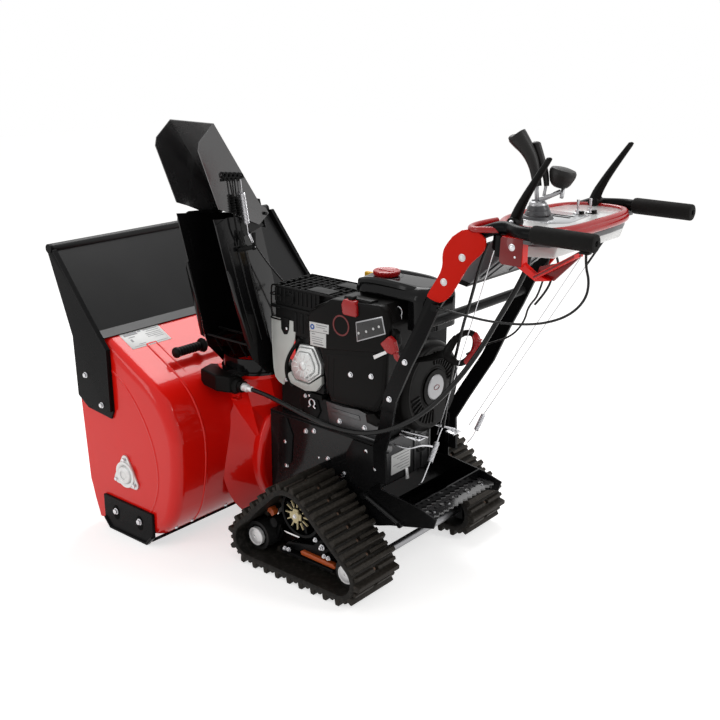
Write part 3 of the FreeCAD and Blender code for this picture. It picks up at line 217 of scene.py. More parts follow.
def moulded(name, colour, roughness, metallic=0.0, coat=0.0, specular=0.5, patch=0.12,
        patch_scale=9.0, grain=0.0, grain_scale=1500.0, wave=0.0, wave_scale=90.0, edge_wear_and_highlight=0.0,
        edge_wear_and_highlight_colour=None, uneven=0.08, dust=0.0):
    """Builds a plain finish with cloudy tone, uneven gloss, fine grain, waviness and lighter edges,
    partly wear and partly a painted edge highlight.
    """
    finish = Finish(name)
    cloud = finish.noise(patch_scale, 4.0)
    tone = finish.blend(cloud, shade(colour, 1.0 - patch), shade(colour, 1.0 + patch))
    smear = finish.noise(patch_scale * 3.1, 5.0)
    rough = (smear * (2.0 * uneven) + (roughness - uneven)).clamped()
    # Lighter colour over outer edges: partly wear, partly a painted highlight where the edges would
    # catch light
    if edge_wear_and_highlight:
        rubbed_and_lit = finish.edges() * (finish.noise(patch_scale * 9.0, 3.0) * 0.8 + 0.6) * edge_wear_and_highlight
        tone = finish.blend(rubbed_and_lit.clamped(), tone, edge_wear_and_highlight_colour or shade(colour, 3.0))
    if dust:
        settled = (finish.noise(patch_scale * 4.0, 6.0) - 0.45) * 3.0
        tone = finish.blend(settled.clamped() * dust, tone, (0.19, 0.17, 0.15))
        rough = (rough + settled.clamped() * (dust * 0.6)).clamped()
    sockets = {"Base_Color": tone, "Roughness": rough, "Metallic": metallic,
        "Specular_IOR_Level": specular}
    normal = None
    if wave:
        normal = finish.bump(finish.noise(wave_scale, 1.0), wave)
    if grain:
        normal = finish.bump(finish.noise(grain_scale, 2.0), grain, normal)
    if normal:
        sockets["Normal"] = normal
    if coat:
        sockets["Coat_Weight"] = coat
        sockets["Coat_Roughness"] = 0.03
    FINISHES[name] = finish.done(**sockets)


class SnowBlowerColours(bpy.types.PropertyGroup):
    """Colours of the machine's finishes."""

    paint: bpy.props.FloatVectorProperty(name="Paint",
        description="Gloss paint of the housing and the brackets", subtype="COLOR", size=3,
        min=0.0, max=1.0, default=(0.86, 0.007, 0.003))
    frame_black: bpy.props.FloatVectorProperty(name="Frame black",
        description="Coating of the frame, struts and handles", subtype="COLOR", size=3, min=0.0,
        max=1.0, default=(0.0035, 0.0035, 0.0038))
    chute_black: bpy.props.FloatVectorProperty(name="Chute black",
        description="Gloss coating of the chute and the visor", subtype="COLOR", size=3, min=0.0,
        max=1.0, default=(0.003, 0.003, 0.0033))
    engine_black: bpy.props.FloatVectorProperty(name="Engine black",
        description="Moulded covers of the engine", subtype="COLOR", size=3, min=0.0, max=1.0,
        default=(0.005, 0.0046, 0.0043))
    rubber: bpy.props.FloatVectorProperty(name="Rubber", description="Track rubber",
        subtype="COLOR", size=3, min=0.0, max=1.0, default=(0.0065, 0.006, 0.0052))
    accent: bpy.props.FloatVectorProperty(name="Accent red",
        description="Caps, knobs and the console's rim", subtype="COLOR", size=3, min=0.0, max=1.0,
        default=(0.40, 0.006, 0.007))


class SnowBlowerSizes(bpy.types.PropertyGroup):
    """Sizes of the small pieces that are built on the machine."""

    crease: bpy.props.FloatProperty(name="Crease height",
        description="Height of the embossed lines on the housing", subtype="DISTANCE",
        unit="LENGTH", default=0.0022, min=0.0005, max=0.006)
    edge: bpy.props.FloatProperty(name="Edge rounding",
        description="Rounding of edges on folded and moulded pieces", subtype="DISTANCE",
        unit="LENGTH", default=USUAL_EDGE, min=0.0002, max=0.004)
    cable: bpy.props.FloatProperty(name="Cable thickness",
        description="Thickness of the bare steel cables", subtype="DISTANCE", unit="LENGTH",
        default=0.0022, min=0.001, max=0.005)
    lug_pitch: bpy.props.FloatProperty(name="Lug spacing",
        description="Distance from lug to lug along a track", subtype="DISTANCE", unit="LENGTH",
        default=0.037, min=0.025, max=0.06)
    shaft_length: bpy.props.FloatProperty(name="Chute shaft length",
        description="Real length of the flexible shaft to the chute", subtype="DISTANCE",
        unit="LENGTH", default=1.03, min=0.8, max=1.5)
    lead_length: bpy.props.FloatProperty(name="Grip lead length",
        description="Real length of the lead from the left grip", subtype="DISTANCE",
        unit="LENGTH", default=0.45, min=0.3, max=0.8)


def round_over(part, width, segments=2, sharper=30.0):
    """Rounds the edges of a mesh in the making that are sharper than an angle."""
    sharp = [edge for edge in part.edges if len(edge.link_faces) == 2
        and edge.calc_face_angle(0.0) > math.radians(sharper)]
    if sharp and width > 0:
        bmesh.ops.bevel(part, geom=sharp, offset=width, offset_type="OFFSET", segments=segments,
            profile=0.5, affect="EDGES", clamp_overlap=True, material=-1)


def aimed(start, end):
    """Turns and moves a shape that stands on Z so that it lies halfway from start to end."""
    start, end = Vector(start), Vector(end)
    turn = (end - start).to_track_quat("Z", "Y").to_matrix().to_4x4()
    return Matrix.Translation((start + end) / 2) @ turn


class Shape:
    """A mesh in the making, in millimetres in the machine's frame."""

    def __init__(self):
        self.mesh = bmesh.new()

    def take(self, part, matrix=None):
        """Adds a finished part, moved by a matrix."""
        if matrix:
            bmesh.ops.transform(part, matrix=matrix, verts=part.verts)
        holder = bpy.data.meshes.new("part")
        part.to_mesh(holder)
        part.free()
        self.mesh.from_mesh(holder)
        bpy.data.meshes.remove(holder)
        return self

    def block(self, low, high, edge=0.8, segments=2, turn=0.0):
        """A box between two corners, turned about Y in degrees."""
        low, high = Vector(low), Vector(high)
        part = bmesh.new()
        bmesh.ops.create_cube(part, size=1.0)
        bmesh.ops.scale(part, vec=high - low, verts=part.verts)
        round_over(part, edge, segments)
        place = Matrix.Translation((low + high) / 2)
        return self.take(part, place @ Matrix.Rotation(math.radians(turn), 4, LEFT))

    def rod(self, start, end, radius, far=None, sides=24, edge=0.0):
        """A round bar from start to end, tapered to the far radius."""
        part = bmesh.new()
        bmesh.ops.create_cone(part, cap_ends=True, segments=sides, radius1=radius,
            radius2=radius if far is None else far, depth=(Vector(end) - Vector(start)).length)
        if edge:
            round_over(part, edge, 2, 50.0)
        return self.take(part, aimed(start, end))

    def ball(self, centre, radii, sides=24):
        """A ball with its own radius on each axis."""
        part = bmesh.new()
        bmesh.ops.create_uvsphere(part, u_segments=sides, v_segments=sides // 2, radius=1.0)
        return self.take(part, Matrix.Translation(centre) @ Matrix.Diagonal((*radii, 1.0)))

    def sheet(self, corners, push, edge=0.0, segments=2):
        """A flat face on its corners, thickened by a push."""
        part = bmesh.new()
        face = part.faces.new([part.verts.new(corner) for corner in corners])
        made = bmesh.ops.extrude_face_region(part, geom=[face])["geom"]
        moved = [item for item in made if isinstance(item, bmesh.types.BMVert)]
        bmesh.ops.translate(part, vec=push, verts=moved)
        bmesh.ops.recalc_face_normals(part, faces=part.faces)
        round_over(part, edge, segments)
        return self.take(part)

    def plate(self, outline, origin, across, up, thick, edge=0.8, segments=2):
        """A flat outline given along across and up, thickened towards across x up."""
        origin, across, up = Vector(origin), Vector(across).normalized(), Vector(up).normalized()
        return self.sheet([origin + across * u + up * v for u, v in outline],
            across.cross(up) * thick, edge, segments)

    def spokes(self, outline, hub, turns, thick, edge):
        """Plates that stand out from an axle along Y, one at each turn in degrees."""
        for turn in turns:
            angle = math.radians(turn)
            across, out = (math.cos(angle), 0, math.sin(angle)), (-math.sin(angle), 0,
                math.cos(angle))
            self.plate(outline, hub, across, out, thick, edge)
        return self

    def rear_spokes(self, outline, hub, turns, thick, edge):
        """Plates that stand out from an axle along X, one at each turn in degrees."""
        for turn in turns:
            angle = math.radians(turn)
            out = Vector((0, math.cos(angle), math.sin(angle)))
            self.plate(outline, hub, out.cross(FORWARD), out, thick, edge)
        return self

    def side(self, outline, inner, outer, edge=0.8, segments=2):
        """An upright side piece with its outline in x and z, from inner to outer across y."""
        return self.plate(outline, (0, inner, 0), FORWARD, UP, inner - outer, edge, segments)

    def lathe(self, profile, origin, along, sides=40):
        """A turned shape: profile is (radius, height) along an axis from the origin."""
        part = bmesh.new()
        line = [part.verts.new((radius, 0, height)) for radius, height in profile]
        edges = [part.edges.new(pair) for pair in zip(line, line[1:])]
        bmesh.ops.spin(part, geom=line + edges, cent=(0, 0, 0), axis=(0, 0, 1), angle=2 * math.pi,
            steps=sides, use_merge=True)
        bmesh.ops.remove_doubles(part, verts=part.verts, dist=0.001)
        bmesh.ops.recalc_face_normals(part, faces=part.faces)
        turn = Vector(along).to_track_quat("Z", "Y").to_matrix().to_4x4()
        return self.take(part, Matrix.Translation(origin) @ turn)

    def tube(self, points, radius, smooth=True, radii=None, closed=False, sides=3, steps=6):
        """A bent bar through points, curved or straight between them."""
        curve = bpy.data.curves.new("tube", "CURVE")
        curve.dimensions = "3D"
        curve.bevel_depth = radius
        curve.bevel_resolution = sides
        curve.resolution_u = steps
        curve.use_fill_caps = not closed
        line = curve.splines.new("NURBS" if smooth else "POLY")
        line.points.add(len(points) - 1)
        for number, place in enumerate(points):
            line.points[number].co = (*place, 1.0)
            line.points[number].radius = radii[number] if radii else 1.0
        line.use_cyclic_u = closed
        if smooth:
            line.order_u = 3
            line.use_endpoint_u = not closed
        holder = bpy.data.objects.new("tube", curve)
        made = bpy.data.meshes.new_from_object(holder)
        part = bmesh.new()
        part.from_mesh(made)
        bmesh.ops.remove_doubles(part, verts=part.verts, dist=0.002)
        bmesh.ops.recalc_face_normals(part, faces=part.faces)
        bpy.data.objects.remove(holder)
        bpy.data.curves.remove(curve)
        bpy.data.meshes.remove(made)
        return self.take(part)

    def coil(self, start, end, radius, wire, turns):
        """A wound spring from start to end."""
        part = bmesh.new()
        length = (Vector(end) - Vector(start)).length
        steps = turns * 12
        bmesh.ops.create_circle(part, segments=6, radius=wire, cap_ends=False)
        place = Matrix.Translation((radius, 0, -length / 2))
        bmesh.ops.transform(part, matrix=place @ Matrix.Rotation(math.pi / 2, 4, "X"),
            verts=part.verts)
        bmesh.ops.spin(part, geom=part.verts[:] + part.edges[:], cent=(0, 0, 0), axis=(0, 0, 1),
            dvec=(0, 0, length / steps), angle=2 * math.pi * turns, steps=steps)
        bmesh.ops.holes_fill(part, edges=part.edges, sides=6)
        bmesh.ops.recalc_face_normals(part, faces=part.faces)
        return self.take(part, aimed(start, end))

    def bolt(self, place, out, size=6.0, washer=True, domed=False, stud=0.0, turn=0.0):
        """A bolt head on a washer at a place, facing out."""
        place, out = Vector(place), Vector(out).normalized()
        base = 0.0
        if washer:
            self.rod(place - out * 1.0, place + out * size * 0.22, size * 1.18, sides=24,
                edge=0.25)
            base = size * 0.22
        if domed:
            profile = [(AXIS, -0.5), (size * 0.95, -0.5), (size * 0.95, size * 0.12),
                (size * 0.78, size * 0.34), (size * 0.42, size * 0.48), (AXIS, size * 0.52)]
            return self.lathe(profile, place + out * base, out, 24)
        part = bmesh.new()
        bmesh.ops.create_cone(part, cap_ends=True, segments=6, radius1=size * 0.98,
            radius2=size * 0.98, depth=size * 0.7)
        round_over(part, size * 0.1, 2)
        bmesh.ops.rotate(part, cent=(0, 0, 0), matrix=Matrix.Rotation(turn, 3, "Z"),
            verts=part.verts)
        self.take(part, aimed(place + out * base, place + out * (base + size * 0.7)))
        if stud:
            self.rod(place, place + out * (base + size * 0.7 + stud), size * 0.5, sides=16,
                edge=0.3)
        return self

    def bolts(self, places, out, size, **more):
        """Like bolts at several places."""
        for place in places:
            self.bolt(place, out, size, **more)
        return self

    def node(self, name):
        """A merged copy of a construction node, with its flat faces joined up."""
        part = bmesh.new()
        part.from_mesh(frame["nodes"][name].data)
        bmesh.ops.scale(part, vec=(1000, 1000, 1000), verts=part.verts)
        bmesh.ops.remove_doubles(part, verts=part.verts, dist=0.01)
        bmesh.ops.dissolve_limit(part, angle_limit=math.radians(1.0), verts=part.verts,
            edges=part.edges, delimit={"NORMAL"})
        return self.take(part)

    def finish(self, name, look, body="machine", slot=None, replaces=(), both=False, rounding=0.0,
            bends=None):
        """Closes the mesh and makes the piece that rides on a body, or, given bends, stays in place
        without one.
        """
        mesh = self.mesh
        if both:
            every = mesh.verts[:] + mesh.edges[:] + mesh.faces[:]
            copied = bmesh.ops.duplicate(mesh, geom=every)["geom"]
            verts = [item for item in copied if isinstance(item, bmesh.types.BMVert)]
            faces = [item for item in copied if isinstance(item, bmesh.types.BMFace)]
            bmesh.ops.scale(mesh, vec=(1, -1, 1), verts=verts)
            bmesh.ops.reverse_faces(mesh, faces=faces)
        bmesh.ops.scale(mesh, vec=(MM, MM, MM), verts=mesh.verts)
        made = bpy.data.meshes.new(name)
        mesh.to_mesh(made)
        mesh.free()
        for face in made.polygons:
            face.use_smooth = True
        made.set_sharp_from_angle(angle=math.radians(SMOOTH_UNDER))
        made.materials.append(FINISHES[look])
        piece = bpy.data.objects.new(name, made)
        bpy.context.scene.collection.objects.link(piece)
        if rounding:
            soft = piece.modifiers.new("Rounded edges", "BEVEL")
            soft.width = rounding * MM
            soft.segments = 2
            soft.limit_method = "ANGLE"
            soft.angle_limit = math.radians(38)
            soft.harden_normals = True
            soft.use_clamp_overlap = True
        if bends:
            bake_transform(piece)
        else:
            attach(piece, body)
        if replaces:
            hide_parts(*replaces)
        return piece


def build_stage(context):
    scene = context.scene
    lens = bpy.data.cameras.new("camera")
    lens.sensor_width = CAMERA_SENSOR
    lens.lens = CAMERA_LENS
    lens.clip_end = 60.0
    camera = bpy.data.objects.new("camera", lens)
    scene.collection.objects.link(camera)
    heading, tilt = math.radians(CAMERA_HEADING), math.radians(CAMERA_TILT)
    ahead = Vector((math.cos(heading) * math.cos(tilt), math.sin(heading) * math.cos(tilt),
        math.sin(tilt)))
    turn = ahead.to_track_quat("-Z", "Y").to_matrix().to_4x4()
    roll = Matrix.Rotation(math.radians(CAMERA_ROLL), 4, "Z")
    camera.matrix_world = Matrix.Translation(CAMERA_PLACE) @ turn @ roll
    scene.camera = camera
    scene.view_settings.view_transform = "Standard"

    def lamp(name, place, aim, width, height, power):
        light = bpy.data.lights.new(name, "AREA")
        light.shape = "RECTANGLE"
        light.size = width
        light.size_y = height
        light.energy = power
        holder = bpy.data.objects.new(name, light)
        scene.collection.objects.link(holder)
        away = Vector(place) - Vector(aim)
        turned = away.to_track_quat("Z", "Y").to_matrix().to_4x4()
        holder.matrix_world = Matrix.Translation(place) @ turned

    lamp("softbox_above", (0.95, -1.05, 2.6), (0.4, 0.0, 0.45), 1.5, 1.3, 38.0)
    lamp("softbox_left", (1.3, 3.0, 1.7), (0.2, 0.2, 0.4), 0.7, 2.0, 13.0)
    lamp("softbox_behind", (-2.6, -0.9, 2.0), (-0.2, 0.0, 0.5), 0.6, 1.8, 24.0)

    world = bpy.data.worlds.new("studio")
    scene.world = world
    world.use_nodes = True
    tree = world.node_tree
    tree.nodes.clear()
    rays = tree.nodes.new("ShaderNodeLightPath")
    seen = (Sock(tree, rays.outputs["Is Camera Ray"]) + Sock(tree, rays.outputs["Is Glossy Ray"])
        + Sock(tree, rays.outputs["Is Transmission Ray"])).clamped()
    strength = seen * 0.45 + 0.55
    sky = tree.nodes.new("ShaderNodeBackground")
    sky.inputs["Color"].default_value = (1.0, 1.0, 1.0, 1.0)
    tree.links.new(strength.socket, sky.inputs["Strength"])
    out = tree.nodes.new("ShaderNodeOutputWorld")
    tree.links.new(sky.outputs[0], out.inputs["Surface"])

    ground = bmesh.new()
    bmesh.ops.create_grid(ground, x_segments=4, y_segments=4, size=9.0)
    mesh = bpy.data.meshes.new("floor")
    ground.to_mesh(mesh)
    ground.free()
    floor = bpy.data.objects.new("floor", mesh)
    scene.collection.objects.link(floor)
    finish = Finish("floor_pale")
    rays = finish.tree.nodes.new("ShaderNodeLightPath")
    seen = (Sock(finish.tree, rays.outputs["Is Camera Ray"])
        + Sock(finish.tree, rays.outputs["Is Glossy Ray"])).clamped()
    glow = finish.node("ShaderNodeEmission", {}, {"Color": (1, 1, 1, 1), "Strength": seen * 0.62})
    cloud = finish.noise(3.0)
    pale = finish.node("ShaderNodeBsdfDiffuse", {},
        {"Color": finish.blend(cloud, (0.70, 0.69, 0.68), (0.72, 0.71, 0.70))})
    both = finish.node("ShaderNodeAddShader", {}, {0: pale, 1: glow})
    finish.node("ShaderNodeOutputMaterial", {}, {"Surface": both})
    mesh.materials.append(finish.material)


class SNOWBLOWER_OT_stage(bpy.types.Operator):
    """Camera, lamps, world and the pale floor"""

    bl_idname = "snowblower.stage"
    bl_label = "Stage"

    def execute(self, context):
        build_stage(context)
        return {"FINISHED"}


def build_finishes(context):
    colours = context.scene.snow_blower_colours
    paint, black = tuple(colours.paint), tuple(colours.frame_black)
    chute, engine = tuple(colours.chute_black), tuple(colours.engine_black)
    rubber, accent = tuple(colours.rubber), tuple(colours.accent)
    # Lighter edge colours below: on the red paint a painted edge highlight, elsewhere partly wear
    # and partly painted edge highlight
    moulded("red_paint", paint, 0.30, coat=0.45, specular=0.12, patch=0.05, patch_scale=5.0,
        wave=0.00006, wave_scale=130.0, edge_wear_and_highlight=0.25, edge_wear_and_highlight_colour=shade(paint, 1.35), uneven=0.03)
    moulded("black_paint", black, 0.28, specular=0.06, patch=0.2, grain=0.00002,
        grain_scale=1400.0, edge_wear_and_highlight=0.5, edge_wear_and_highlight_colour=(0.04, 0.04, 0.04))
    moulded("black_gloss", chute, 0.10, specular=0.2, patch=0.15, wave=0.00012, wave_scale=45.0,
        edge_wear_and_highlight=0.6, edge_wear_and_highlight_colour=(0.06, 0.06, 0.06), uneven=0.03)
    moulded("visor_sheet", (0.009, 0.009, 0.0093), 0.32, specular=0.18, patch=0.25,
        patch_scale=3.0, wave=0.00005, wave_scale=20.0, uneven=0.06)
    moulded("zinc_steel", (0.66, 0.66, 0.68), 0.28, metallic=1.0, patch=0.10, patch_scale=60.0,
        grain=0.00002, grain_scale=900.0, uneven=0.1)
    moulded("cast_alloy", (0.63, 0.63, 0.62), 0.42, metallic=0.85, patch=0.12, patch_scale=70.0,
        grain=0.00018, grain_scale=620.0, edge_wear_and_highlight=0.7, edge_wear_and_highlight_colour=(0.9, 0.9, 0.9))
    moulded("engine_alloy", (0.008, 0.008, 0.0085), 0.42, specular=0.08, patch=0.2, grain=0.00012,
        grain_scale=500.0, edge_wear_and_highlight=0.5, edge_wear_and_highlight_colour=(0.09, 0.09, 0.09))
    moulded("dull_alloy", (0.075, 0.075, 0.077), 0.38, metallic=0.9, patch=0.25, patch_scale=30.0,
        grain=0.00012, grain_scale=500.0, edge_wear_and_highlight=0.6, edge_wear_and_highlight_colour=(0.3, 0.3, 0.3))
    moulded("shield_white", (0.60, 0.61, 0.58), 0.36, specular=0.4, patch=0.06, patch_scale=20.0,
        grain=0.00002, uneven=0.05)
    moulded("guard_black", (0.0035, 0.0035, 0.0035), 0.42, specular=0.07, patch=0.3, grain=0.00008,
        grain_scale=900.0, edge_wear_and_highlight=0.4, edge_wear_and_highlight_colour=(0.06, 0.06, 0.06))
    moulded("track_rubber", rubber, 0.5, specular=0.12, patch=0.3, patch_scale=30.0, grain=0.00015,
        grain_scale=700.0, edge_wear_and_highlight=0.8, edge_wear_and_highlight_colour=(0.045, 0.038, 0.03), dust=0.12)
    moulded("wheel_black", (0.0038, 0.0038, 0.0038), 0.36, specular=0.14, patch=0.2, grain=0.00006,
        grain_scale=800.0, edge_wear_and_highlight=0.5, edge_wear_and_highlight_colour=(0.06, 0.06, 0.06))
    moulded("black_plastic", engine, 0.36, specular=0.07, patch=0.15, grain=0.00006,
        grain_scale=1300.0, edge_wear_and_highlight=0.45, edge_wear_and_highlight_colour=(0.04, 0.04, 0.04))
    moulded("tank_plastic", (0.003, 0.003, 0.0032), 0.13, specular=0.16, patch=0.1, wave=0.00006,
        wave_scale=60.0, edge_wear_and_highlight=0.4, edge_wear_and_highlight_colour=(0.05, 0.05, 0.05), uneven=0.03)
    moulded("red_plastic", accent, 0.25, specular=0.25, coat=0.3, patch=0.1, grain=0.00003,
        edge_wear_and_highlight=0.3, edge_wear_and_highlight_colour=shade(accent, 1.5))
    moulded("yellow_plastic", (0.78, 0.44, 0.015), 0.35, patch=0.08, grain=0.00003)
    moulded("grip_foam", (0.011, 0.0105, 0.010), 0.75, specular=0.12, patch=0.15, patch_scale=40.0,
        grain=0.0003, grain_scale=1700.0)
    moulded("cable_sheath", (0.004, 0.004, 0.004), 0.28, specular=0.25, patch=0.1, grain=0.00003,
        grain_scale=900.0)
    moulded("label_paper", (0.72, 0.72, 0.71), 0.35, specular=0.4, patch=0.04, patch_scale=80.0)
    moulded("blank_plate", (0.022, 0.022, 0.022), 0.3, specular=0.4, patch=0.1, patch_scale=60.0)
    moulded("panel_white", (0.74, 0.74, 0.73), 0.22, specular=0.45, coat=0.3, patch=0.03,
        uneven=0.02)
    moulded("panel_grey", (0.10, 0.10, 0.105), 0.35, specular=0.4, patch=0.08, grain=0.00004)
    moulded("cream_plastic", (0.66, 0.55, 0.30), 0.45, patch=0.1, grain=0.00006, edge_wear_and_highlight=0.4,
        edge_wear_and_highlight_colour=(0.85, 0.78, 0.55))
    moulded("orange_plastic", (0.50, 0.085, 0.012), 0.4, patch=0.2, patch_scale=60.0,
        grain=0.00006)
    moulded("rusty_stud", (0.10, 0.055, 0.035), 0.5, metallic=0.5, patch=0.4, patch_scale=200.0,
        uneven=0.1)
    moulded("zinc_white", (0.80, 0.80, 0.80), 0.34, metallic=0.35, patch=0.06, patch_scale=50.0,
        grain=0.00002)
    moulded("mark_red", (0.16, 0.006, 0.006), 0.4, patch=0.1)
    moulded("print_grey", (0.28, 0.28, 0.29), 0.5, patch=0.1)
    moulded("print_blue", (0.015, 0.09, 0.36), 0.4, patch=0.1)
    moulded("bright_casting", (0.72, 0.73, 0.72), 0.30, metallic=0.45, patch=0.10,
        patch_scale=60.0, grain=0.0002, grain_scale=600.0, edge_wear_and_highlight=0.6,
        edge_wear_and_highlight_colour=(0.95, 0.95, 0.95))
    # The red paint again, darker and matte for the gussets: painted shade to hold down a lamp
    # highlight
    moulded("shaded_gusset_red", (0.72, 0.018, 0.010), 0.45, specular=0.05, patch=0.05)
    # Near black laid over slots, vents, slits and open ends: painted shade in the hollows
    moulded("painted_hollow_shade", (0.002, 0.002, 0.002), 0.7, specular=0.05)
    moulded("disc_silver", (0.36, 0.36, 0.37), 0.3, metallic=0.7, patch=0.08, patch_scale=40.0,
        uneven=0.05)
    moulded("deck_silver", (0.50, 0.51, 0.52), 0.25, metallic=0.3, coat=0.3, patch=0.06,
        uneven=0.03)
    moulded("grey_rubber", (0.03, 0.031, 0.033), 0.36, specular=0.4, patch=0.2, grain=0.00006,
        edge_wear_and_highlight=0.7, edge_wear_and_highlight_colour=(0.14, 0.14, 0.15))
    moulded("handle_black", (0.012, 0.011, 0.0105), 0.42, specular=0.25, patch=0.12, grain=0.00005)
    moulded("deep_red", (0.22, 0.005, 0.006), 0.3, coat=0.3, specular=0.2, patch=0.08,
        wave=0.00006, wave_scale=120.0)
    moulded("bright_black", (0.018, 0.017, 0.018), 0.18, specular=0.9, coat=0.4, patch=0.15,
        patch_scale=4.0, wave=0.0001, wave_scale=30.0, edge_wear_and_highlight=0.5, edge_wear_and_highlight_colour=(0.2, 0.2, 0.2),
        uneven=0.04)
    moulded("dark_steel", (0.30, 0.30, 0.31), 0.3, metallic=1.0, patch=0.15, patch_scale=50.0,
        grain=0.00003, grain_scale=900.0)
    moulded("lens_clear", (0.33, 0.34, 0.35), 0.12, specular=0.5, coat=0.5, patch=0.15,
        patch_scale=120.0, uneven=0.03),
    for row in frame["record"]["subparts"]:
        node = frame["nodes"][row["node"]]
        finish = FINISHES[look_of(row)]
        for place in node.material_slots:
            place.material = finish
        if not node.material_slots:
            node.data.materials.append(finish)


class SNOWBLOWER_OT_finishes(bpy.types.Operator):
    """Procedural finishes, laid on the construction nodes that stay"""

    bl_idname = "snowblower.finishes"
    bl_label = "Finishes"

    def execute(self, context):
        build_finishes(context)
        return {"FINISHED"}


def build_cords():
    def cord(name, route, radius):
        curve = bpy.data.curves.new(name, "CURVE")
        curve.dimensions = "3D"
        curve.bevel_depth = radius * MM
        curve.bevel_resolution = 5
        curve.resolution_u = 12
        curve.use_fill_caps = True
        line = curve.splines.new("NURBS")
        line.points.add(len(route) - 1)
        for point, place in zip(line.points, metres(route)):
            point.co = (*place, 1.0)
        line.order_u = 3
        line.use_endpoint_u = True
        curve.materials.append(FINISHES["cable_sheath"])
        piece = bpy.data.objects.new(name + "_line", curve)
        bpy.context.scene.collection.objects.link(piece)
        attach(piece, "machine")
        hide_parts(name)

    cord("flexible_shaft", [(203.8, 212, 426), (140, 212, 426), (60, 219, 418), (-30, 223, 406),
        (-120, 226, 401), (-205, 226, 411), (-285, 223, 445), (-355, 207, 497), (-402, 170, 562),
        (-437, 136, 632), (-463, 106, 704), (-490, 82, 770), (-506, 66, 824), (-506, 66, 874.8)],
        5.5)
    cord("grip_wire", [(-708, 210, 896.3), (-708, 210, 872), (-718, 209, 842), (-712, 207, 806),
        (-680, 205, 770), (-630, 204, 745), (-570, 204, 731), (-500, 205, 725), (-430, 206, 728),
        (-378.2, 207, 731)], 2.5)


class SNOWBLOWER_OT_cords(bpy.types.Operator):
    """The flexible shaft to the chute and the lead from the left grip"""

    bl_idname = "snowblower.cords"
    bl_label = "Cords"

    def execute(self, context):
        build_cords()
        return {"FINISHED"}


ROUNDED = {"visor_brackets": 1.2, "skid_shoes": 2.2, "scraper_bar": 1.0, "auger_gearbox": 1.5,
    "tool_clips": 0.8, "chassis": 1.0, "footplate": 0.7, "belt_cover": 3.0, "engine_block": 3.0,
    "muffler_guard": 0.8, "struts": 1.1, "gussets": 1.2, "steering_trigger": 1.0,
    "auger_bearings": 1.2, "chute": 0.7, "chute_deflector": 0.7, "chute_gearbox": 2.0,
    "transmission": 3.0, "track_frames": 1.0, "track_sprockets": 1.0, "impeller": 0.8}


def build_rounded_nodes(context):
    share = context.scene.snow_blower_sizes.edge / USUAL_EDGE
    rows = {row["node"]: row for row in frame["record"]["subparts"]}
    for body, names in frame["record"]["behaviour"]["bodies"].items():
        for name in names:
            if name in ROUNDED:
                row = rows[name]
                Shape().node(name).finish(name + "_rounded", look_of(row), body,
                    row["material_slot"], (name,), rounding=ROUNDED[name] * share)


class SNOWBLOWER_OT_rounded_nodes(bpy.types.Operator):
    """Folded, cast and moulded pieces with their real edge roundings"""

    bl_idname = "snowblower.rounded_nodes"
    bl_label = "Rounded edges"

    def execute(self, context):
        build_rounded_nodes(context)
        return {"FINISHED"}


def belt_places(lift, count):
    """Evenly spaced places along a belt round the wheels: x, z and the outward angle."""
    starts = []
    for (x0, z0, r0), (x1, z1, r1) in zip(WHEELS, WHEELS[1:] + WHEELS[:1]):
        lean = math.acos((r0 - r1) / math.hypot(x1 - x0, z1 - z0))
        starts.append(math.atan2(z1 - z0, x1 - x0) - lean)
    dense = []
    for number, angle in enumerate(starts):
        x0, z0, r0 = WHEELS[number]
        x1, z1, r1 = WHEELS[(number + 1) % 3]
        out = Vector((math.cos(angle), math.sin(angle)))
        first = Vector((x0, z0)) + out * (r0 + lift)
        last = Vector((x1, z1)) + out * (r1 + lift)
        for step in range(40):
            dense.append((first.lerp(last, step / 40), angle))
        turn = (starts[(number + 1) % 3] - angle) % (2 * math.pi)
        for step in range(40):
            bent = angle + turn * step / 40
            dense.append((Vector((x1 + (r1 + lift) * math.cos(bent),
                z1 + (r1 + lift) * math.sin(bent))), bent))
    steps = [(after[0] - place[0]).length for place, after in zip(dense, dense[1:] + dense[:1])]
    pitch = sum(steps) / count
    places = []
    walked = 0.0
    for (place, angle), step, (after, unused) in zip(dense, steps, dense[1:] + dense[:1]):
        while len(places) < count and len(places) * pitch <= walked + step:
            share = (len(places) * pitch - walked) / step
            spot = place.lerp(after, share)
            places.append((spot.x, spot.y, angle))
        walked += step
    return places


def bare_belt():
    part = bmesh.new()
    loops = []
    for lift in (BELT_FACE, BELT_BACK):
        line = [part.verts.new((x, TRACK_INSIDE, z)) for x, z, unused in belt_places(lift, 120)]
        loops += [part.edges.new(pair) for pair in zip(line, line[1:] + line[:1])]
    bmesh.ops.bridge_loops(part, edges=loops)
    made = bmesh.ops.extrude_face_region(part, geom=part.faces[:])["geom"]
    moved = [item for item in made if isinstance(item, bmesh.types.BMVert)]
    bmesh.ops.translate(part, vec=(0, TRACK_OUTSIDE - TRACK_INSIDE, 0), verts=moved)
    bmesh.ops.recalc_face_normals(part, faces=part.faces)
    round_over(part, 2.0, 2, 60.0)
    return Shape().take(part)


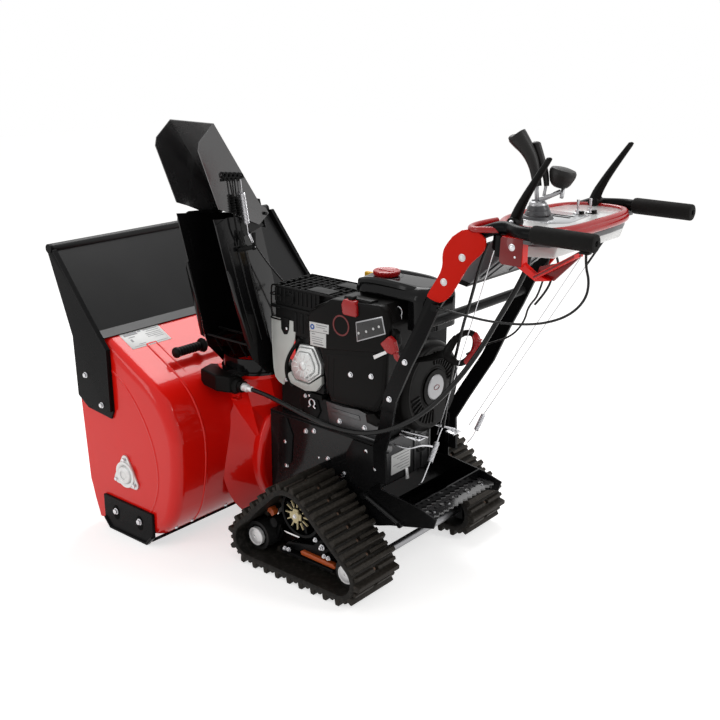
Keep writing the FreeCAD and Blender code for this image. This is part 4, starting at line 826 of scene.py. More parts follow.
def add_lugs(belt, count):
    tall = [(-8.5, -2), (8.5, -2), (7.4, 7), (5.2, 15.4), (-5.2, 15.4), (-7.4, 7)]
    low = [(-6.5, -2), (6.5, -2), (4.0, 8.5), (-4.0, 8.5)]
    guide = [(-8, 2), (8, 2), (4.5, -13), (-4.5, -13)]
    places = belt_places(BELT_BACK, 2 * count)
    for number, (x, z, angle) in enumerate(places):
        along = (-math.sin(angle), 0, math.cos(angle))
        out = (math.cos(angle), 0, math.sin(angle))
        if number % 2 == 0:
            belt.plate(tall, (x, TRACK_INSIDE, z), along, out, TRACK_OUTSIDE - TRACK_INSIDE, 1.4,
                1)
        else:
            for start in (TRACK_INSIDE + 3, 237.0):
                belt.plate(low, (x, start, z), along, out, 65.0, 1.0, 1)
    for x, z, angle in belt_places(BELT_FACE, count):
        if min(math.hypot(x - wx, z - wz) - radius for wx, wz, radius in WHEELS) > 14:
            along = (-math.sin(angle), 0, math.cos(angle))
            out = (math.cos(angle), 0, math.sin(angle))
            belt.plate(guide, (x, 220.0, z), along, out, 20.0, 1.5, 1)


def add_studs(count):
    studs = Shape()
    for number, (x, z, angle) in enumerate(belt_places(BELT_BACK, 2 * count)):
        if number % 2:
            out = Vector((math.cos(angle), 0, math.sin(angle)))
            studs.bolt(Vector((x, 230.0, z)), out, 3.6, domed=True)
    studs.finish("track_studs", "rusty_stud", both=True)


def add_wheels():
    caps = Shape()
    for x in IDLER_PLACES:
        caps.lathe([(AXIS, 3.2), (3.2, 3.2), (4.2, 4.6), (12.0, 4.4), (17.5, 3.2), (20.5, 2.2),
            (21.0, 3.0), (23.2, 3.0), (23.9, 1.8), (23.9, -6.0), (AXIS, -6.0)],
            (x, 270.6, IDLER_HEIGHT), LEFT, 48)
        for turn in (40, 160, 280):
            angle = math.radians(turn)
            caps.bolt((x + 12.5 * math.cos(angle), 274.4, IDLER_HEIGHT + 12.5 * math.sin(angle)),
                LEFT, 1.6, washer=False, domed=True)
    caps.finish("hub_caps", "zinc_white", both=True)

    rims = Shape()
    for x in IDLER_PLACES:
        rims.lathe([(26, 258.4), (33.0, 259.4), (33.6, 265.4), (37.6, 265.4), (37.6, 260.0),
            (36.6, 259.0)], (x, 0, IDLER_HEIGHT), LEFT, 48)
        rims.spokes(oblong(-1.6, 24.5, 1.6, 33.2), (x, 264.0, IDLER_HEIGHT), range(0, 360, 45),
            6.0, 0.5)
    rims.finish("wheel_rims", "wheel_black", both=True)

    (Shape()
     .spokes([(-1.6, 20), (1.6, 20), (1.2, 38), (-1.2, 38)], (-25, 268.0, 168), range(0, 360, 30),
         5.0, 0.6)
     .plate([(-12, -8), (-8, -12), (8, -12), (12, -8), (12, 8), (8, 12), (-8, 12), (-12, 8)],
         (-25, 275.0, 168), FORWARD, UP, 8.0, 1.2)
     .block((-33, 270, 150), (-17, 274, 186), 1.0)
     .block((-43, 270, 160), (-7, 274, 176), 1.0)
     .finish("drive_hubs", "cream_plastic", both=True))
    (Shape()
     .bolt((-25, 274.6, 168), LEFT, 4.6)
     .bolts(at_y(262, *TRACK_BOLTS, (-79, 119)), LEFT, 5.0, stud=2.0)
     .bolt((-100, 262, 106), LEFT, 6.5, stud=4.0)
     .finish("track_bolts", "zinc_steel", both=True))

    carrier = Shape()
    carrier.side([(-124, 88), (-116, 76), (28, 54), (34, 66), (20, 74), (-60, 92), (-88, 128),
        (-112, 116)], 240, 248, 1.2)
    carrier.rod((61, 214, 119), (61, 262, 119), 13, sides=28, edge=1.5)
    carrier.rod((-100, 214, 106), (-100, 262, 106), 9, sides=20, edge=1.0)
    carrier.rod((-79, 214, 119), (-79, 262, 119), 7, sides=20, edge=1.0)
    for x, z in TRACK_BOLTS:
        carrier.rod((x, 236, z), (x, 262.5, z), 5.5, sides=16, edge=0.8)
    carrier.side([(57, 110), (65, 110), (80, 74), (104, 72), (104, 62), (70, 62)], 232, 238, 1.0)
    carrier.finish("track_carriers", "black_paint", both=True)

    (Shape()
     .side([(-132, 56), (-26, 58), (-22, 66), (-30, 70), (-128, 68), (-136, 62)], 244, 256, 1.5)
     .side([(60, 150), (70, 158), (80, 152), (82, 142), (72, 140), (66, 134), (58, 140)], 246, 262,
         1.5)
     .finish("track_slides", "orange_plastic", both=True))


def build_tracks(context):
    pitch = context.scene.snow_blower_sizes.lug_pitch / MM
    count = round(BELT_LENGTH / pitch)
    for side, word in ((1, "left"), (-1, "right")):
        belt = bare_belt()
        add_lugs(belt, count)
        if side < 0:
            bmesh.ops.scale(belt.mesh, vec=(1, -1, 1), verts=belt.mesh.verts)
            bmesh.ops.reverse_faces(belt.mesh, faces=belt.mesh.faces)
        belt.finish("track_belt_" + word, "track_rubber", replaces=("track_" + word,))
    add_studs(count)
    add_wheels()


class SNOWBLOWER_OT_tracks(bpy.types.Operator):
    """Rubber tracks with lugs and studs, hub caps, slides and bolts"""

    bl_idname = "snowblower.tracks"
    bl_label = "Tracks"

    def execute(self, context):
        build_tracks(context)
        return {"FINISHED"}


def housing_back(lift, share_from, share_to, steps=14):
    """Places in x and z down the housing's back, from the top front edge to the lip."""
    corners = [Vector(place) for place in (HOUSING_EDGE, HOUSING_BEND, (262, 272), (285, 118),
        (345, 36))]
    places = []
    heading = math.atan2(corners[1].y - corners[0].y, corners[1].x - corners[0].x)
    for step in range(steps):
        places.append((corners[0].lerp(corners[1], step / steps), heading))
    for start, end in zip(corners[1:], corners[2:]):
        chord = end - start
        half = (math.atan2(chord.y, chord.x) - heading + math.pi) % (2 * math.pi) - math.pi
        radius = chord.length / 2 / math.sin(half)
        for step in range(steps):
            part = half * step / steps
            reach = 2 * radius * math.sin(part)
            places.append((start + reach * Vector((math.cos(heading + part),
                math.sin(heading + part))), heading + 2 * part))
        heading += 2 * half
    places.append((corners[-1], heading))
    kept = places[int(share_from * (len(places) - 1)):int(share_to * (len(places) - 1)) + 1]
    return [(place.x + lift * math.sin(angle), place.y - lift * math.cos(angle))
        for place, angle in kept]


def build_housing(context):
    crease = context.scene.snow_blower_sizes.crease / MM
    lines = Shape()
    down = housing_back(crease - 5.0, 0.12, 0.96)
    lines.tube(at_y(292, *down), 5.0, sides=4, steps=3)
    top = housing_back(crease * 0.7 - 4.0, 0.12, 0.30)
    lines.tube(at_y(262, *top), 4.0, sides=4, steps=3,
        radii=[1.0] * (len(top) - 3) + [0.9, 0.7, 0.4])
    lines.tube([(down[0][0], 292, down[0][1]), (top[0][0], 277, top[0][1] + 0.4),
        (top[0][0], 262, top[0][1])], 4.2, sides=4)
    sunk = HOUSING_SIDE + crease * 0.8 - 5.0
    lines.tube(at_y(sunk, (556, 470), (500, 452), (436, 414), (378, 344), (342, 262), (336, 190),
        (352, 130), (386, 78), (404, 50)), 5.0, sides=4)
    lines.tube(at_y(sunk - 0.6, (598, 246), (560, 240), (520, 238), (486, 232), (440, 220),
        (420, 176), (436, 138), (470, 122)), 4.0, sides=4)
    lines.tube(at_y(sunk - 0.6, (600, 206), (560, 204), (530, 200)), 3.6, sides=4)
    lines.tube(at_y(384.6, (590.0, 18), (606, 62), (620.5, 118), (628.6, 230), (634.6, 348),
        (600, 426), (552, 530)), 3.2, smooth=False, sides=4)
    lines.finish("housing_creases", "red_paint", both=True)

    slope = (Vector(HOUSING_EDGE) - Vector(HOUSING_BEND)).normalized()
    slope = Vector((slope.x, 0, slope.y))
    out = Vector((-slope.z, 0, slope.x))
    edge = Vector((HOUSING_EDGE[0], 0, HOUSING_EDGE[1]))
    towards_sky = 1 if LEFT.cross(-slope).dot(out) > 0 else -1

    def on_top(shape, outline, lift, thick=1.6, rounding=0.0):
        shape.plate(outline, edge + out * lift, LEFT, -slope, towards_sky * thick, rounding)

    strip = Shape()
    on_top(strip, oblong(-366, 0, 366, 28), -0.4, rounding=0.3)
    strip.finish("housing_strip", "blank_plate")
    marks = Shape()
    for start in (-300, -240, -180, 60):
        on_top(marks, oblong(start, 12, start + 44, 17), 0.2)
    on_top(marks, [(240, 11), (252, 9), (334, 9), (344, 11), (344, 22), (334, 24), (252, 24),
        (240, 22)], 0.8)
    marks.finish("housing_strip_marks", "mark_red")
    badge = Shape()
    on_top(badge, [(232, 9), (248, 4.5), (338, 4.5), (352, 8), (352, 24), (338, 27.5), (248, 27.5),
        (232, 24)], 0.4)
    on_top(badge, [(250, 13), (256, 12), (328, 12), (334, 13), (334, 20), (328, 21), (256, 21),
        (250, 20)], 1.1)
    badge.finish("housing_badge_blank", "blank_plate")
    (Shape()
     .tube([edge + out * 1.4 + LEFT * y - slope * v for y, v in ((234, 10), (249, 6), (337, 6),
         (350, 9), (350, 23), (337, 26), (249, 26), (234, 23))], 0.9, smooth=False, closed=True)
     .finish("housing_badge_rim", "zinc_steel"))
    label = Shape()
    on_top(label, oblong(214, 29, 340, 90), -0.4, 1.2, 0.1)
    label.finish("housing_label_blank", "label_paper")
    rules = Shape()
    for start, end, low, high in ((290, 332, 33, 42), (276, 286, 33, 37), (222, 268, 34, 36),
            (222, 262, 41, 42.5), (304, 324, 48, 50), (318, 324, 56, 66), (222, 270, 49, 50.2),
            (222, 270, 55, 56.2), (222, 270, 61, 62.2), (222, 250, 67, 68.2), (290, 312, 78, 79.4),
            (222, 330, 84, 85)):
        on_top(rules, oblong(start, low, end, high), 0.1, 1.2)
    rules.finish("housing_label_rules", "print_grey")

    bolts = Shape()
    bolts.bolts(at_y(392.9, (602, 416), (542, 347)), LEFT, 6.6, stud=0.6)
    bolts.bolts([(x, 396.0, 57) for x in SKID_BOLTS], LEFT, 7.4, stud=0.4)
    for turn in (90, 210, 330):
        angle = math.radians(turn)
        bolts.bolt((AUGER_X + 42 * math.cos(angle), 396.3, AUGER_Z + 42 * math.sin(angle)), LEFT,
            5.4, washer=False, turn=angle)
    low = housing_back(0.4, 0.93, 0.93)[0]
    for y in (60, 180, 300, 352):
        bolts.bolt((low[0], y, low[1]), (-0.72, 0, -0.69), 4.6, domed=True)
    bolts.finish("housing_bolts", "zinc_steel", both=True)

    (Shape()
     .lathe([(AXIS, 3.6), (8.5, 3.8), (10, 2.8), (13, 2.6), (14.5, 4.0), (19, 4.0), (22, 2.4),
         (24, -3.5), (AXIS, -3.5)], (AUGER_X, 396.8, AUGER_Z), LEFT, 40)
     .finish("bearing_caps", "cast_alloy", both=True))

    (Shape()
     .tube([(716, 389.5, 742), (706, 389.5, 724), (690, 389.5, 690), (640, 389.5, 580),
         (590, 389.5, 470), (566, 389.5, 424)], 3.4, sides=3)
     .finish("visor_bracket_rims", "black_paint", both=True))

    flange = Shape()
    corners = []
    for turn in (90, 210, 330):
        for lean in (-60, -36, -12, 12, 36, 60):
            angle, edge_turn = math.radians(turn), math.radians(turn + lean)
            corners.append((AUGER_X + 40 * math.cos(angle) + 13 * math.cos(edge_turn),
                AUGER_Z + 40 * math.sin(angle) + 13 * math.sin(edge_turn)))
    flange.side(corners, 387.7, 393.4, 1.2)
    flange.lathe([(36, 0), (35, 3.6), (30, 4.6), (26, 3.4), (24, 1.0), (24, -3)],
        (AUGER_X, 393, AUGER_Z), LEFT, 44)
    flange.finish("bearing_flanges", "cast_alloy", both=True)

    # Black plates on the skid shoes: painted shade in the bolt slots
    slots = Shape()
    for x in SKID_BOLTS:
        slots.side([(x + 12 * math.cos(a), 53 + 8 * (1 if math.sin(a) > 0 else -1)
            + 12 * math.sin(a)) for a in (0.2, 0.7, 1.2, 1.57, 1.94, 2.44, 2.94, 3.34, 3.84, 4.34,
            4.71, 5.08, 5.58, 6.08)], 390.0, 396.2, 0.0)
    slots.finish("skid_slot_shade", "painted_hollow_shade", both=True)


class SNOWBLOWER_OT_housing(bpy.types.Operator):
    """Creases, top strip, label, badge, bearing, painted shade in the skid slots, and bolts of the
    auger housing
    """

    bl_idname = "snowblower.housing"
    bl_label = "Auger housing"

    def execute(self, context):
        build_housing(context)
        return {"FINISHED"}


def build_tool():
    tool = Shape().node("clean_out_tool")
    whole = tool.mesh.verts[:] + tool.mesh.edges[:] + tool.mesh.faces[:]
    bmesh.ops.bisect_plane(tool.mesh, geom=whole, plane_co=(0, 171, 0), plane_no=(0, 1, 0),
        clear_outer=True)
    bmesh.ops.holes_fill(tool.mesh, edges=tool.mesh.edges, sides=0)
    profile = [(AXIS, 0), (15, 0), (18, 2), (19, 5), (17.5, 9), (13.5, 11.5), (9.6, 13), (9.6, 17)]
    for rib in range(7):
        base = 18.0 + rib * 9.6
        profile += [(10.4, base), (12.2, base + 2.2), (12.2, base + 6.2), (10.6, base + 8.2)]
    profile += [(11, 86), (13.6, 88.5), (14.2, 93), (12.8, 97), (8.6, 99.4), (AXIS, 100)]
    tool.lathe(profile, (391, 171.5, 489), LEFT, 36)
    tool.finish("clean_out_tool_ribbed", "black_plastic", replaces=("clean_out_tool",))


class SNOWBLOWER_OT_tool(bpy.types.Operator):
    """The clean-out tool's ribbed grip"""

    bl_idname = "snowblower.tool"
    bl_label = "Clean-out tool"

    def execute(self, context):
        build_tool()
        return {"FINISHED"}


def leaned(x, y, z):
    """A place on the upright chute, leaned towards the outlet side with it."""
    lean = math.radians(CHUTE_LEAN)
    over, up = y - CHUTE_Y, z - CHUTE_FOOT
    return (x, CHUTE_Y + over * math.cos(lean) + up * math.sin(lean),
        CHUTE_FOOT - over * math.sin(lean) + up * math.cos(lean))


def build_chute():
    folds = Shape()
    for side in (-1, 1):
        for over, start, end in ((62, 96, 418), (36, 92, 400), (14, 90, 386)):
            places = []
            for step in range(9):
                rise = start + (end - start) * step / 8
                half = 78.0 - 8.0 * min(1.0, max(0.0, (rise - 88) / 122))
                half -= 5.0 * max(0.0, (rise - 210) / 160)
                places.append(leaned(CHUTE_X + side * (half + 0.7), CHUTE_Y + over,
                    CHUTE_FOOT + rise))
            folds.tube(places, 2.7, radii=[0.3, 0.8] + [1.0] * 5 + [0.8, 0.3], sides=4)
    folds.finish("chute_folds", "black_gloss", "chute")

    flanges = Shape()
    for side in (-1, 1):
        outline = [(77.6, 92), (69.4, 210), (67.4, 292), (67.2, 304), (72, 302), (80, 284),
            (84, 210), (91, 96)]
        across = Vector((side, 0, 0))
        up = Vector(leaned(0, CHUTE_Y, CHUTE_FOOT + 100)) - Vector(leaned(0, CHUTE_Y, CHUTE_FOOT))
        origin = leaned(CHUTE_X, CHUTE_Y + 84, CHUTE_FOOT)
        flanges.plate(outline, origin, across, up, -2.4 if side > 0 else 2.4, 0.7)
    flanges.finish("chute_flanges", "black_gloss", "chute")

    cheeks = Shape()
    for side in (-1, 1):
        cheeks.sheet([leaned(CHUTE_X + side * 65.4, 42 + over, 848 + up)
            for over, up in ((5, -30), (150, -30), (150, 30), (112, 34), (22, 4))],
            (side * 2.2, 0, 0))
    cheeks.sheet([leaned(x, 36, 848 + up) for x, up in ((198, -40), (322, -40), (322, 34),
        (198, 34))], Vector(leaned(0, CHUTE_Y + 2, 0)) - Vector(leaned(0, CHUTE_Y, 0)))
    cheeks.finish("chute_cheeks", "black_gloss", "chute", rounding=0.4)

    eyes = Shape()
    for step in range(5):
        centre = Vector((181.6, 272 - step * 13.0, 957.5 - step * 1.6))
        eyes.tube([centre + Vector((0, 6.2 * math.cos(a), 6.2 * math.sin(a)))
            for a in (0, 1.05, 2.09, 3.14, 4.19, 5.24)], 2.3, closed=True)
        eyes.rod(centre + Vector((0, 0, -4)), centre + Vector((0, -1.0, -13)), 1.8, sides=10)
    eyes.block((183.4, 208, 944), (187, 280, 950), 0.6)
    eyes.finish("deflector_eyes", "guard_black", "deflector")

    boots = Shape()
    ribs = [(AXIS, 0), (3.0, 0.5)]
    for rib in range(7):
        ribs += [(3.4, 2 + rib * 6.2), (6.2, 4.6 + rib * 6.2), (3.6, 7.2 + rib * 6.2)]
    ribs += [(2.8, 48), (AXIS, 48.5)]
    boots.lathe(ribs, (180.5, 250, 912), Vector((0, -4, -43)), 20)
    boots.rod((180.5, 250, 912), (181.6, 256, 946), 1.7, sides=10)
    boots.tube([(180.5, 246, 866), (180.5, 243, 840), (181, 234, 812), (183, 222, 790)], 2.4)
    boots.lathe(ribs, (182, 236, 905), Vector((0, -9, -43)), 20)
    boots.rod((182, 236, 905), (182, 240, 944), 1.7, sides=10)
    boots.block((183.2, 172, 772), (190, 232, 782), 1.0)
    boots.block((182, 176, 770), (186, 186, 812), 1.0)
    boots.block((182, 216, 784), (186, 228, 822), 1.0)
    boots.finish("chute_boots", "guard_black", "chute", bends=CHUTE_BENDS)

    (Shape()
     .coil((180.5, 219, 912), (180.5, 206, 838), 6.2, 1.2, 22)
     .rod((180.5, 222, 944), (180.5, 219, 910), 1.3, sides=8)
     .rod((180.5, 206, 840), (182, 200, 806), 1.3, sides=8)
     .rod((181, 201, 812), (181, 189, 790), 3.6, sides=14, edge=0.6)
     .bolt((184.4, 192, 800), -FORWARD, 3.6)
     .bolt((184.4, 178, 777), -FORWARD, 3.2)
     .finish("chute_springs", "zinc_steel", "chute", bends=CHUTE_BENDS))

    (Shape()
     .tube([(182, 180, 783), (181, 150, 742), (180, 112, 700), (181, 72, 660), (188, 48, 600),
         (200, 30, 540)], 1.8)
     .finish("chute_cable", "cable_sheath", "chute"))

    (Shape()
     .block((226, 197, 388), (240, 206, 412), 0.8)
     .block((224, 197, 386), (242, 220, 390), 0.8)
     .finish("worm_case_tab", "red_paint"))
    (Shape()
     .lathe([(AXIS, 0), (9.4, 0), (10.6, 1.2), (10.6, 6), (9.0, 7), (9.0, 9), (10.4, 10),
         (10.4, 17), (8.6, 19), (7.4, 20), (7.4, 33), (6.4, 34.5), (AXIS, 34.5)], (207, 212, 426),
         -FORWARD, 24)
     .finish("shaft_nut", "zinc_white"))
    (Shape()
     .lathe([(AXIS, 0), (22, 0), (24, 2), (24, 8), (20, 14), (17, 22), (AXIS, 22)],
         (236, 212, 426), -FORWARD, 30)
     .block((214, 176, 448), (268, 210, 453.6), 2.0)
     .bolts([(x, y, 452.4) for x, y in ((232, 202), (232, 222), (256, 206))], UP, 3.2, domed=True)
     .finish("worm_case_cap", "black_plastic"))


class SNOWBLOWER_OT_chute(bpy.types.Operator):
    """Folds, flanges, cable eyes and springs of the chute"""

    bl_idname = "snowblower.chute"
    bl_label = "Chute"

    def execute(self, context):
        build_chute()
        return {"FINISHED"}


def build_engine():
    cover = Shape().node("carburettor_cover")
    cover.side([(10, 564), (11, 642), (4, 652), (-36, 674), (-60, 691), (-206, 701), (-220, 690),
        (-227, 660), (-225, 594), (-190, 588), (-46, 566)], 158, 184.6, 7.0, 4)
    cover.side([(-40, 560), (-44, 474), (-58, 446), (-186, 451), (-214, 488), (-220, 586),
        (-190, 581)], 160, 183.4, 6.0, 4)
    cover.lathe([(AXIS, -1.0), (17, -1.0), (20, 0.6), (26.5, 1.0), (29.5, 0.4), (31, -1.5)],
        (-94, 184.2, 635), LEFT, 44)
    for x0, z0, x1, z1 in ((-54, 552, -50, 460), (-70, 552, -66, 456)):
        cover.tube([(x0, 182.6, z0), (x1, 182.6, z1)], 1.8, smooth=False)
    cover.block((-176, 150, 694), (-96, 178, 704), 3.0)
    cover.side([(-228, 648), (-240, 640), (-244, 616), (-236, 600), (-224, 598)], 150, 172, 3.0)
    cover.finish("carburettor_cover_shell", "black_plastic", replaces=("carburettor_cover",),
        rounding=1.0)

    (Shape()
     .lathe([(20.5, 0), (21.2, 1.6), (24.4, 1.6), (25.2, 0)], (-94, 184.4, 635), LEFT, 44)
     .finish("cover_ring", "mark_red"))

    (Shape()
     .side([(-138, 652), (-214, 679), (-224, 640), (-142, 606)], 184.2, 186.2, 0.5)
     .finish("cover_plate_rim", "disc_silver"))
    (Shape()
     .side([(-140.6, 649.6), (-212, 675.4), (-221, 641.6), (-144.4, 609.6)], 184.8, 186.9, 0.3)
     .finish("cover_plate_blank", "blank_plate", slot="black_plastic"))
    dots = Shape()
    for x, z in ((-148, 628), (-170, 636), (-190, 646), (-206, 654)):
        dots.rod((x, 186.4, z), (x, 187.6, z), 3.0, sides=18)
    dots.finish("cover_dots", "label_paper")

    (Shape()
     .side([(3, 627), (-57, 629), (-56, 607), (3, 604.4)], 184.0, 185.4, 0.1)
     .side([(2, 603.4), (-48, 605.6), (-48, 572), (1, 570)], 184.0, 185.4, 0.1)
     .finish("cover_label_blank", "label_paper"))
    (Shape()
     .lathe([(3.0, 0), (3.0, 0.6), (6.6, 0.6), (6.6, 0)], (-6, 185.3, 616), LEFT, 28)
     .finish("cover_label_spot", "print_blue"))
    rules = Shape()
    for start, far, low, high in ((-18, -52, 622, 624), (-18, -46, 617, 618.4),
            (-40, -52, 611, 613), (-4, -14, 598, 600), (-4, -40, 592, 593.2),
            (-4, -36, 587, 588.2), (-4, -38, 582, 583.2), (-8, -40, 575, 578)):
        rules.side([(start, low), (far, low + 0.6), (far, high + 0.6), (start, high)], 185.0,
            185.8, 0.0)
    rules.finish("cover_label_rules", "print_grey")

    bolts = Shape()
    bolts.bolts(at_y(182.2, (-121, 523), (-182, 532)), LEFT, 5.6)
    bolts.bolts(at_y(125, (-37, 370), (-116, 373)), LEFT, 5.8)
    bolts.bolts(at_y(158, (102, 585), (108, 452)), LEFT, 4.0)
    bolts.bolts(at_y(157.5, (56, 546), (20, 548), (-1, 500), (34, 467), (83, 490)), LEFT, 3.6,
        washer=False)
    bolts.bolts([(164, y, z) for y, z in ((-70, 392), (70, 392), (-70, 440), (70, 440))], FORWARD,
        4.4)
    for angle in (45, 135, 225, 315):
        turn = math.radians(angle)
        bolts.bolt((-204, RECOIL_Y + 107 * math.cos(turn), RECOIL_Z + 107 * math.sin(turn)),
            -FORWARD, 4.0)
    bolts.finish("engine_bolts", "zinc_steel")

    valve = Shape()
    outline = [(61, 553), (16, 556), (8, 545), (-8, 514), (-7, 490), (33, 460), (76, 461),
        (90, 482), (91, 500)]
    centre = Vector(VALVE_COVER)

    def inset(share):
        return [tuple(centre + (Vector(point) - centre) * share) for point in outline]

    valve.side(inset(1.0), 146.2, 158.0, 2.0)
    valve.side(inset(0.91), 154.0, 164.5, 3.6, 3)
    valve.side(inset(0.72), 160.0, 170.0, 4.4, 3)
    valve.lathe([(AXIS, 3.4), (8, 3.2), (11, 1.6), (12.5, -2), (AXIS, -2)],
        (VALVE_COVER[0], 169.5, VALVE_COVER[1]), LEFT, 32)
    valve.spokes([(-0.9, 15), (0.9, 15), (1.5, 33), (-1.5, 33)],
        (VALVE_COVER[0], 171.0, VALVE_COVER[1]), range(15, 360, 30), 4.0, 0.6)
    valve.finish("valve_cover_cast", "bright_casting", replaces=("valve_cover",))

    (Shape()
     .side([(155, 606), (156, 566), (152, 474), (146, 452), (134, 441), (117, 437), (113, 450),
         (109, 488), (78, 560), (72, 606)], 154.8, 157.4, 1.0)
     .side([(112, 464), (104, 448), (46, 437), (10, 444), (-8, 466), (-8, 486), (34, 456),
         (78, 457), (94, 476)], 146.4, 157.6, 2.4)
     .tube([(153.6, 156.4, 604), (154.6, 156.4, 566), (150.6, 156.4, 474), (144.6, 156.4, 453),
         (133, 156.4, 442.4), (118, 156.4, 438.4)], 1.8)
     .finish("heat_shield_sheet", "shield_white", replaces=("heat_shield",)))
    (Shape()
     .side([(122, 610), (121, 580), (112, 568), (102, 570), (96, 582), (94, 610)], 156.8, 159.4,
         1.0)
     .tube([(62, 156, 566), (72, 157, 552), (92, 157, 527), (106, 157, 500), (109, 157, 477),
         (104, 156, 454), (90, 154, 440)], 4.6)
     .finish("shield_hook", "guard_black"))

    right = Shape()
    right.side([(-148, 612), (-140, 622), (96, 622), (132, 590), (140, 540), (140, 478),
        (118, 456), (-120, 456), (-150, 486)], -135, -127.6, 3.0, 3)
    right.side([(-126, 592), (60, 592), (96, 560), (96, 500), (-126, 500)], -139, -134, 3.0, 3)
    for z in range(378, 444, 13):
        right.block((-20, -136, z), (150, -127.6, z + 4), 1.2)
    for x in range(-112, 50, 18):
        right.block((x, -141, 512), (x + 7, -138, 580), 1.2)
    for x in range(-140, 150, 16):
        right.block((x, -112, 638), (x + 6, -20, 643), 1.6)
    right.block((-132, -134, 372), (-52, -127.6, 440), 4.0, 3)
    right.finish("engine_right_cover", "black_plastic", slot="engine_alloy")
    (Shape()
     .bolts(at_y(-134.4, (-136, 606), (84, 608), (128, 480), (-134, 474), (-122, 382), (-62, 382),
         (-122, 430), (-62, 430)), -LEFT, 4.6)
     .rod((-92, -127.6, 366), (-92, -144, 362), 9.0, sides=24, edge=1.0)
     .bolt((-92, -143, 362), -LEFT, 7.0)
     .finish("engine_right_bolts", "zinc_steel"))

    wires = Shape()
    for y in range(28, 160, 21):
        wires.tube([(128, y, 688.0), (151, y, 688.0), (157, y, 678), (157, y, 600), (150, y, 584)],
            2.0, smooth=True)
    for z in (604, 634, 664):
        wires.tube([(120, 162, z), (152, 162, z), (159, 154, z), (159, 90, z), (159, 20, z)], 1.9)
    for y in range(28, 150, 20):
        wires.rod((-56, y, 683.6), (142, y, 683.6), 1.7, sides=10)
    for x in range(-48, 144, 19):
        wires.rod((x, 20, 685.2), (x, 152, 685.2), 1.7, sides=10)
    wires.tube([(-60, 18, 686), (-60, 154, 686), (146, 154, 686), (146, 18, 686)], 2.4,
        smooth=False, closed=True)
    wires.finish("muffler_wires", "guard_black")
    box = Shape()
    box.block((-2, 150, 634), (150, 161, 640), 1.4)
    box.block((146, 14, 634), (152, 158, 640), 1.4)
    for x in range(8, 148, 14):
        box.block((x, 152, 648), (x + 8, 158.6, 682), 2.4)
    for x in range(10, 90, 20):
        box.block((x, 152, 580), (x + 12, 158, 630), 1.6)
    box.rod((30, 154, 611), (30, 163, 611), 10, sides=28, edge=1.4)
    box.lathe([(AXIS, 4), (9, 4), (10, 3), (14, 2.6), (15, 0), (AXIS, -2)], (92, 158, 660), LEFT,
        28)
    box.block((-26, 110, 684), (44, 150, 690), 1.6)
    box.block((-50, 30, 684), (20, 70, 689), 1.6)
    box.finish("muffler_ribs", "guard_black")
    (Shape()
     .lathe([(AXIS, 0), (38, 0), (46, 6), (48, 20), (48, 100), (46, 114), (38, 120), (AXIS, 120)],
         (44, 26, 632), LEFT, 40)
     .finish("muffler_drum", "engine_alloy"))

    (Shape()
     .side([(7, 412), (-3, 357), (-30, 352.4), (-150, 352.4), (-158, 374), (-146, 404), (-96, 414),
         (-50, 410)], 118, 126, 2.2)
     .side([(-14, 400), (-18, 388), (-104, 388), (-100, 400)], 124, 128, 1.6)
     .block((-154, 110, 348.4), (6, 134, 356), 2.0)
     .finish("engine_base", "dull_alloy"))
    (Shape()
     .side([(-124, 412), (-128, 392), (-158, 388), (-166, 408), (-150, 420)], 124, 134, 2.0)
     .block((20, 96, 408), (88, 126, 422), 3.0)
     .finish("engine_tabs", "black_plastic"))

    fins = Shape()
    for step in range(7):
        z = 446 + step * 15
        fins.block((-6, 100, z), (90, 143, z + 4), 1.0)
    fins.finish("cylinder_fins", "engine_alloy")

    (Shape()
     .tube([(48 + 9.5 * math.cos(math.radians(a)), 131, 399 + 9.5 * math.sin(math.radians(a)))
         for a in (-62, -30, 10, 50, 90, 130, 170, 210, 242)], 2.2)
     .rod((52.5, 131, 390.6), (60, 131, 386), 2.2, sides=12)
     .rod((43.5, 131, 390.6), (36, 131, 386), 2.2, sides=12)
     .bolt((74, 126, 410), LEFT, 4.6)
     .bolt((60, 126, 414), LEFT, 3.6)
     .bolt((52, 124, 352), LEFT, 4.4)
     .finish("shaft_clip", "zinc_steel"))
    (Shape()
     .side([(92, 424), (40, 422), (24, 380), (40, 352), (66, 352), (96, 384)], 112, 127, 2.6)
     .finish("shaft_clip_carrier", "black_plastic"))


class SNOWBLOWER_OT_engine(bpy.types.Operator):
    """Covers, valve cover, shield, muffler guard and base plate of the engine"""

    bl_idname = "snowblower.engine"
    bl_label = "Engine"

    def execute(self, context):
        build_engine()
        return {"FINISHED"}


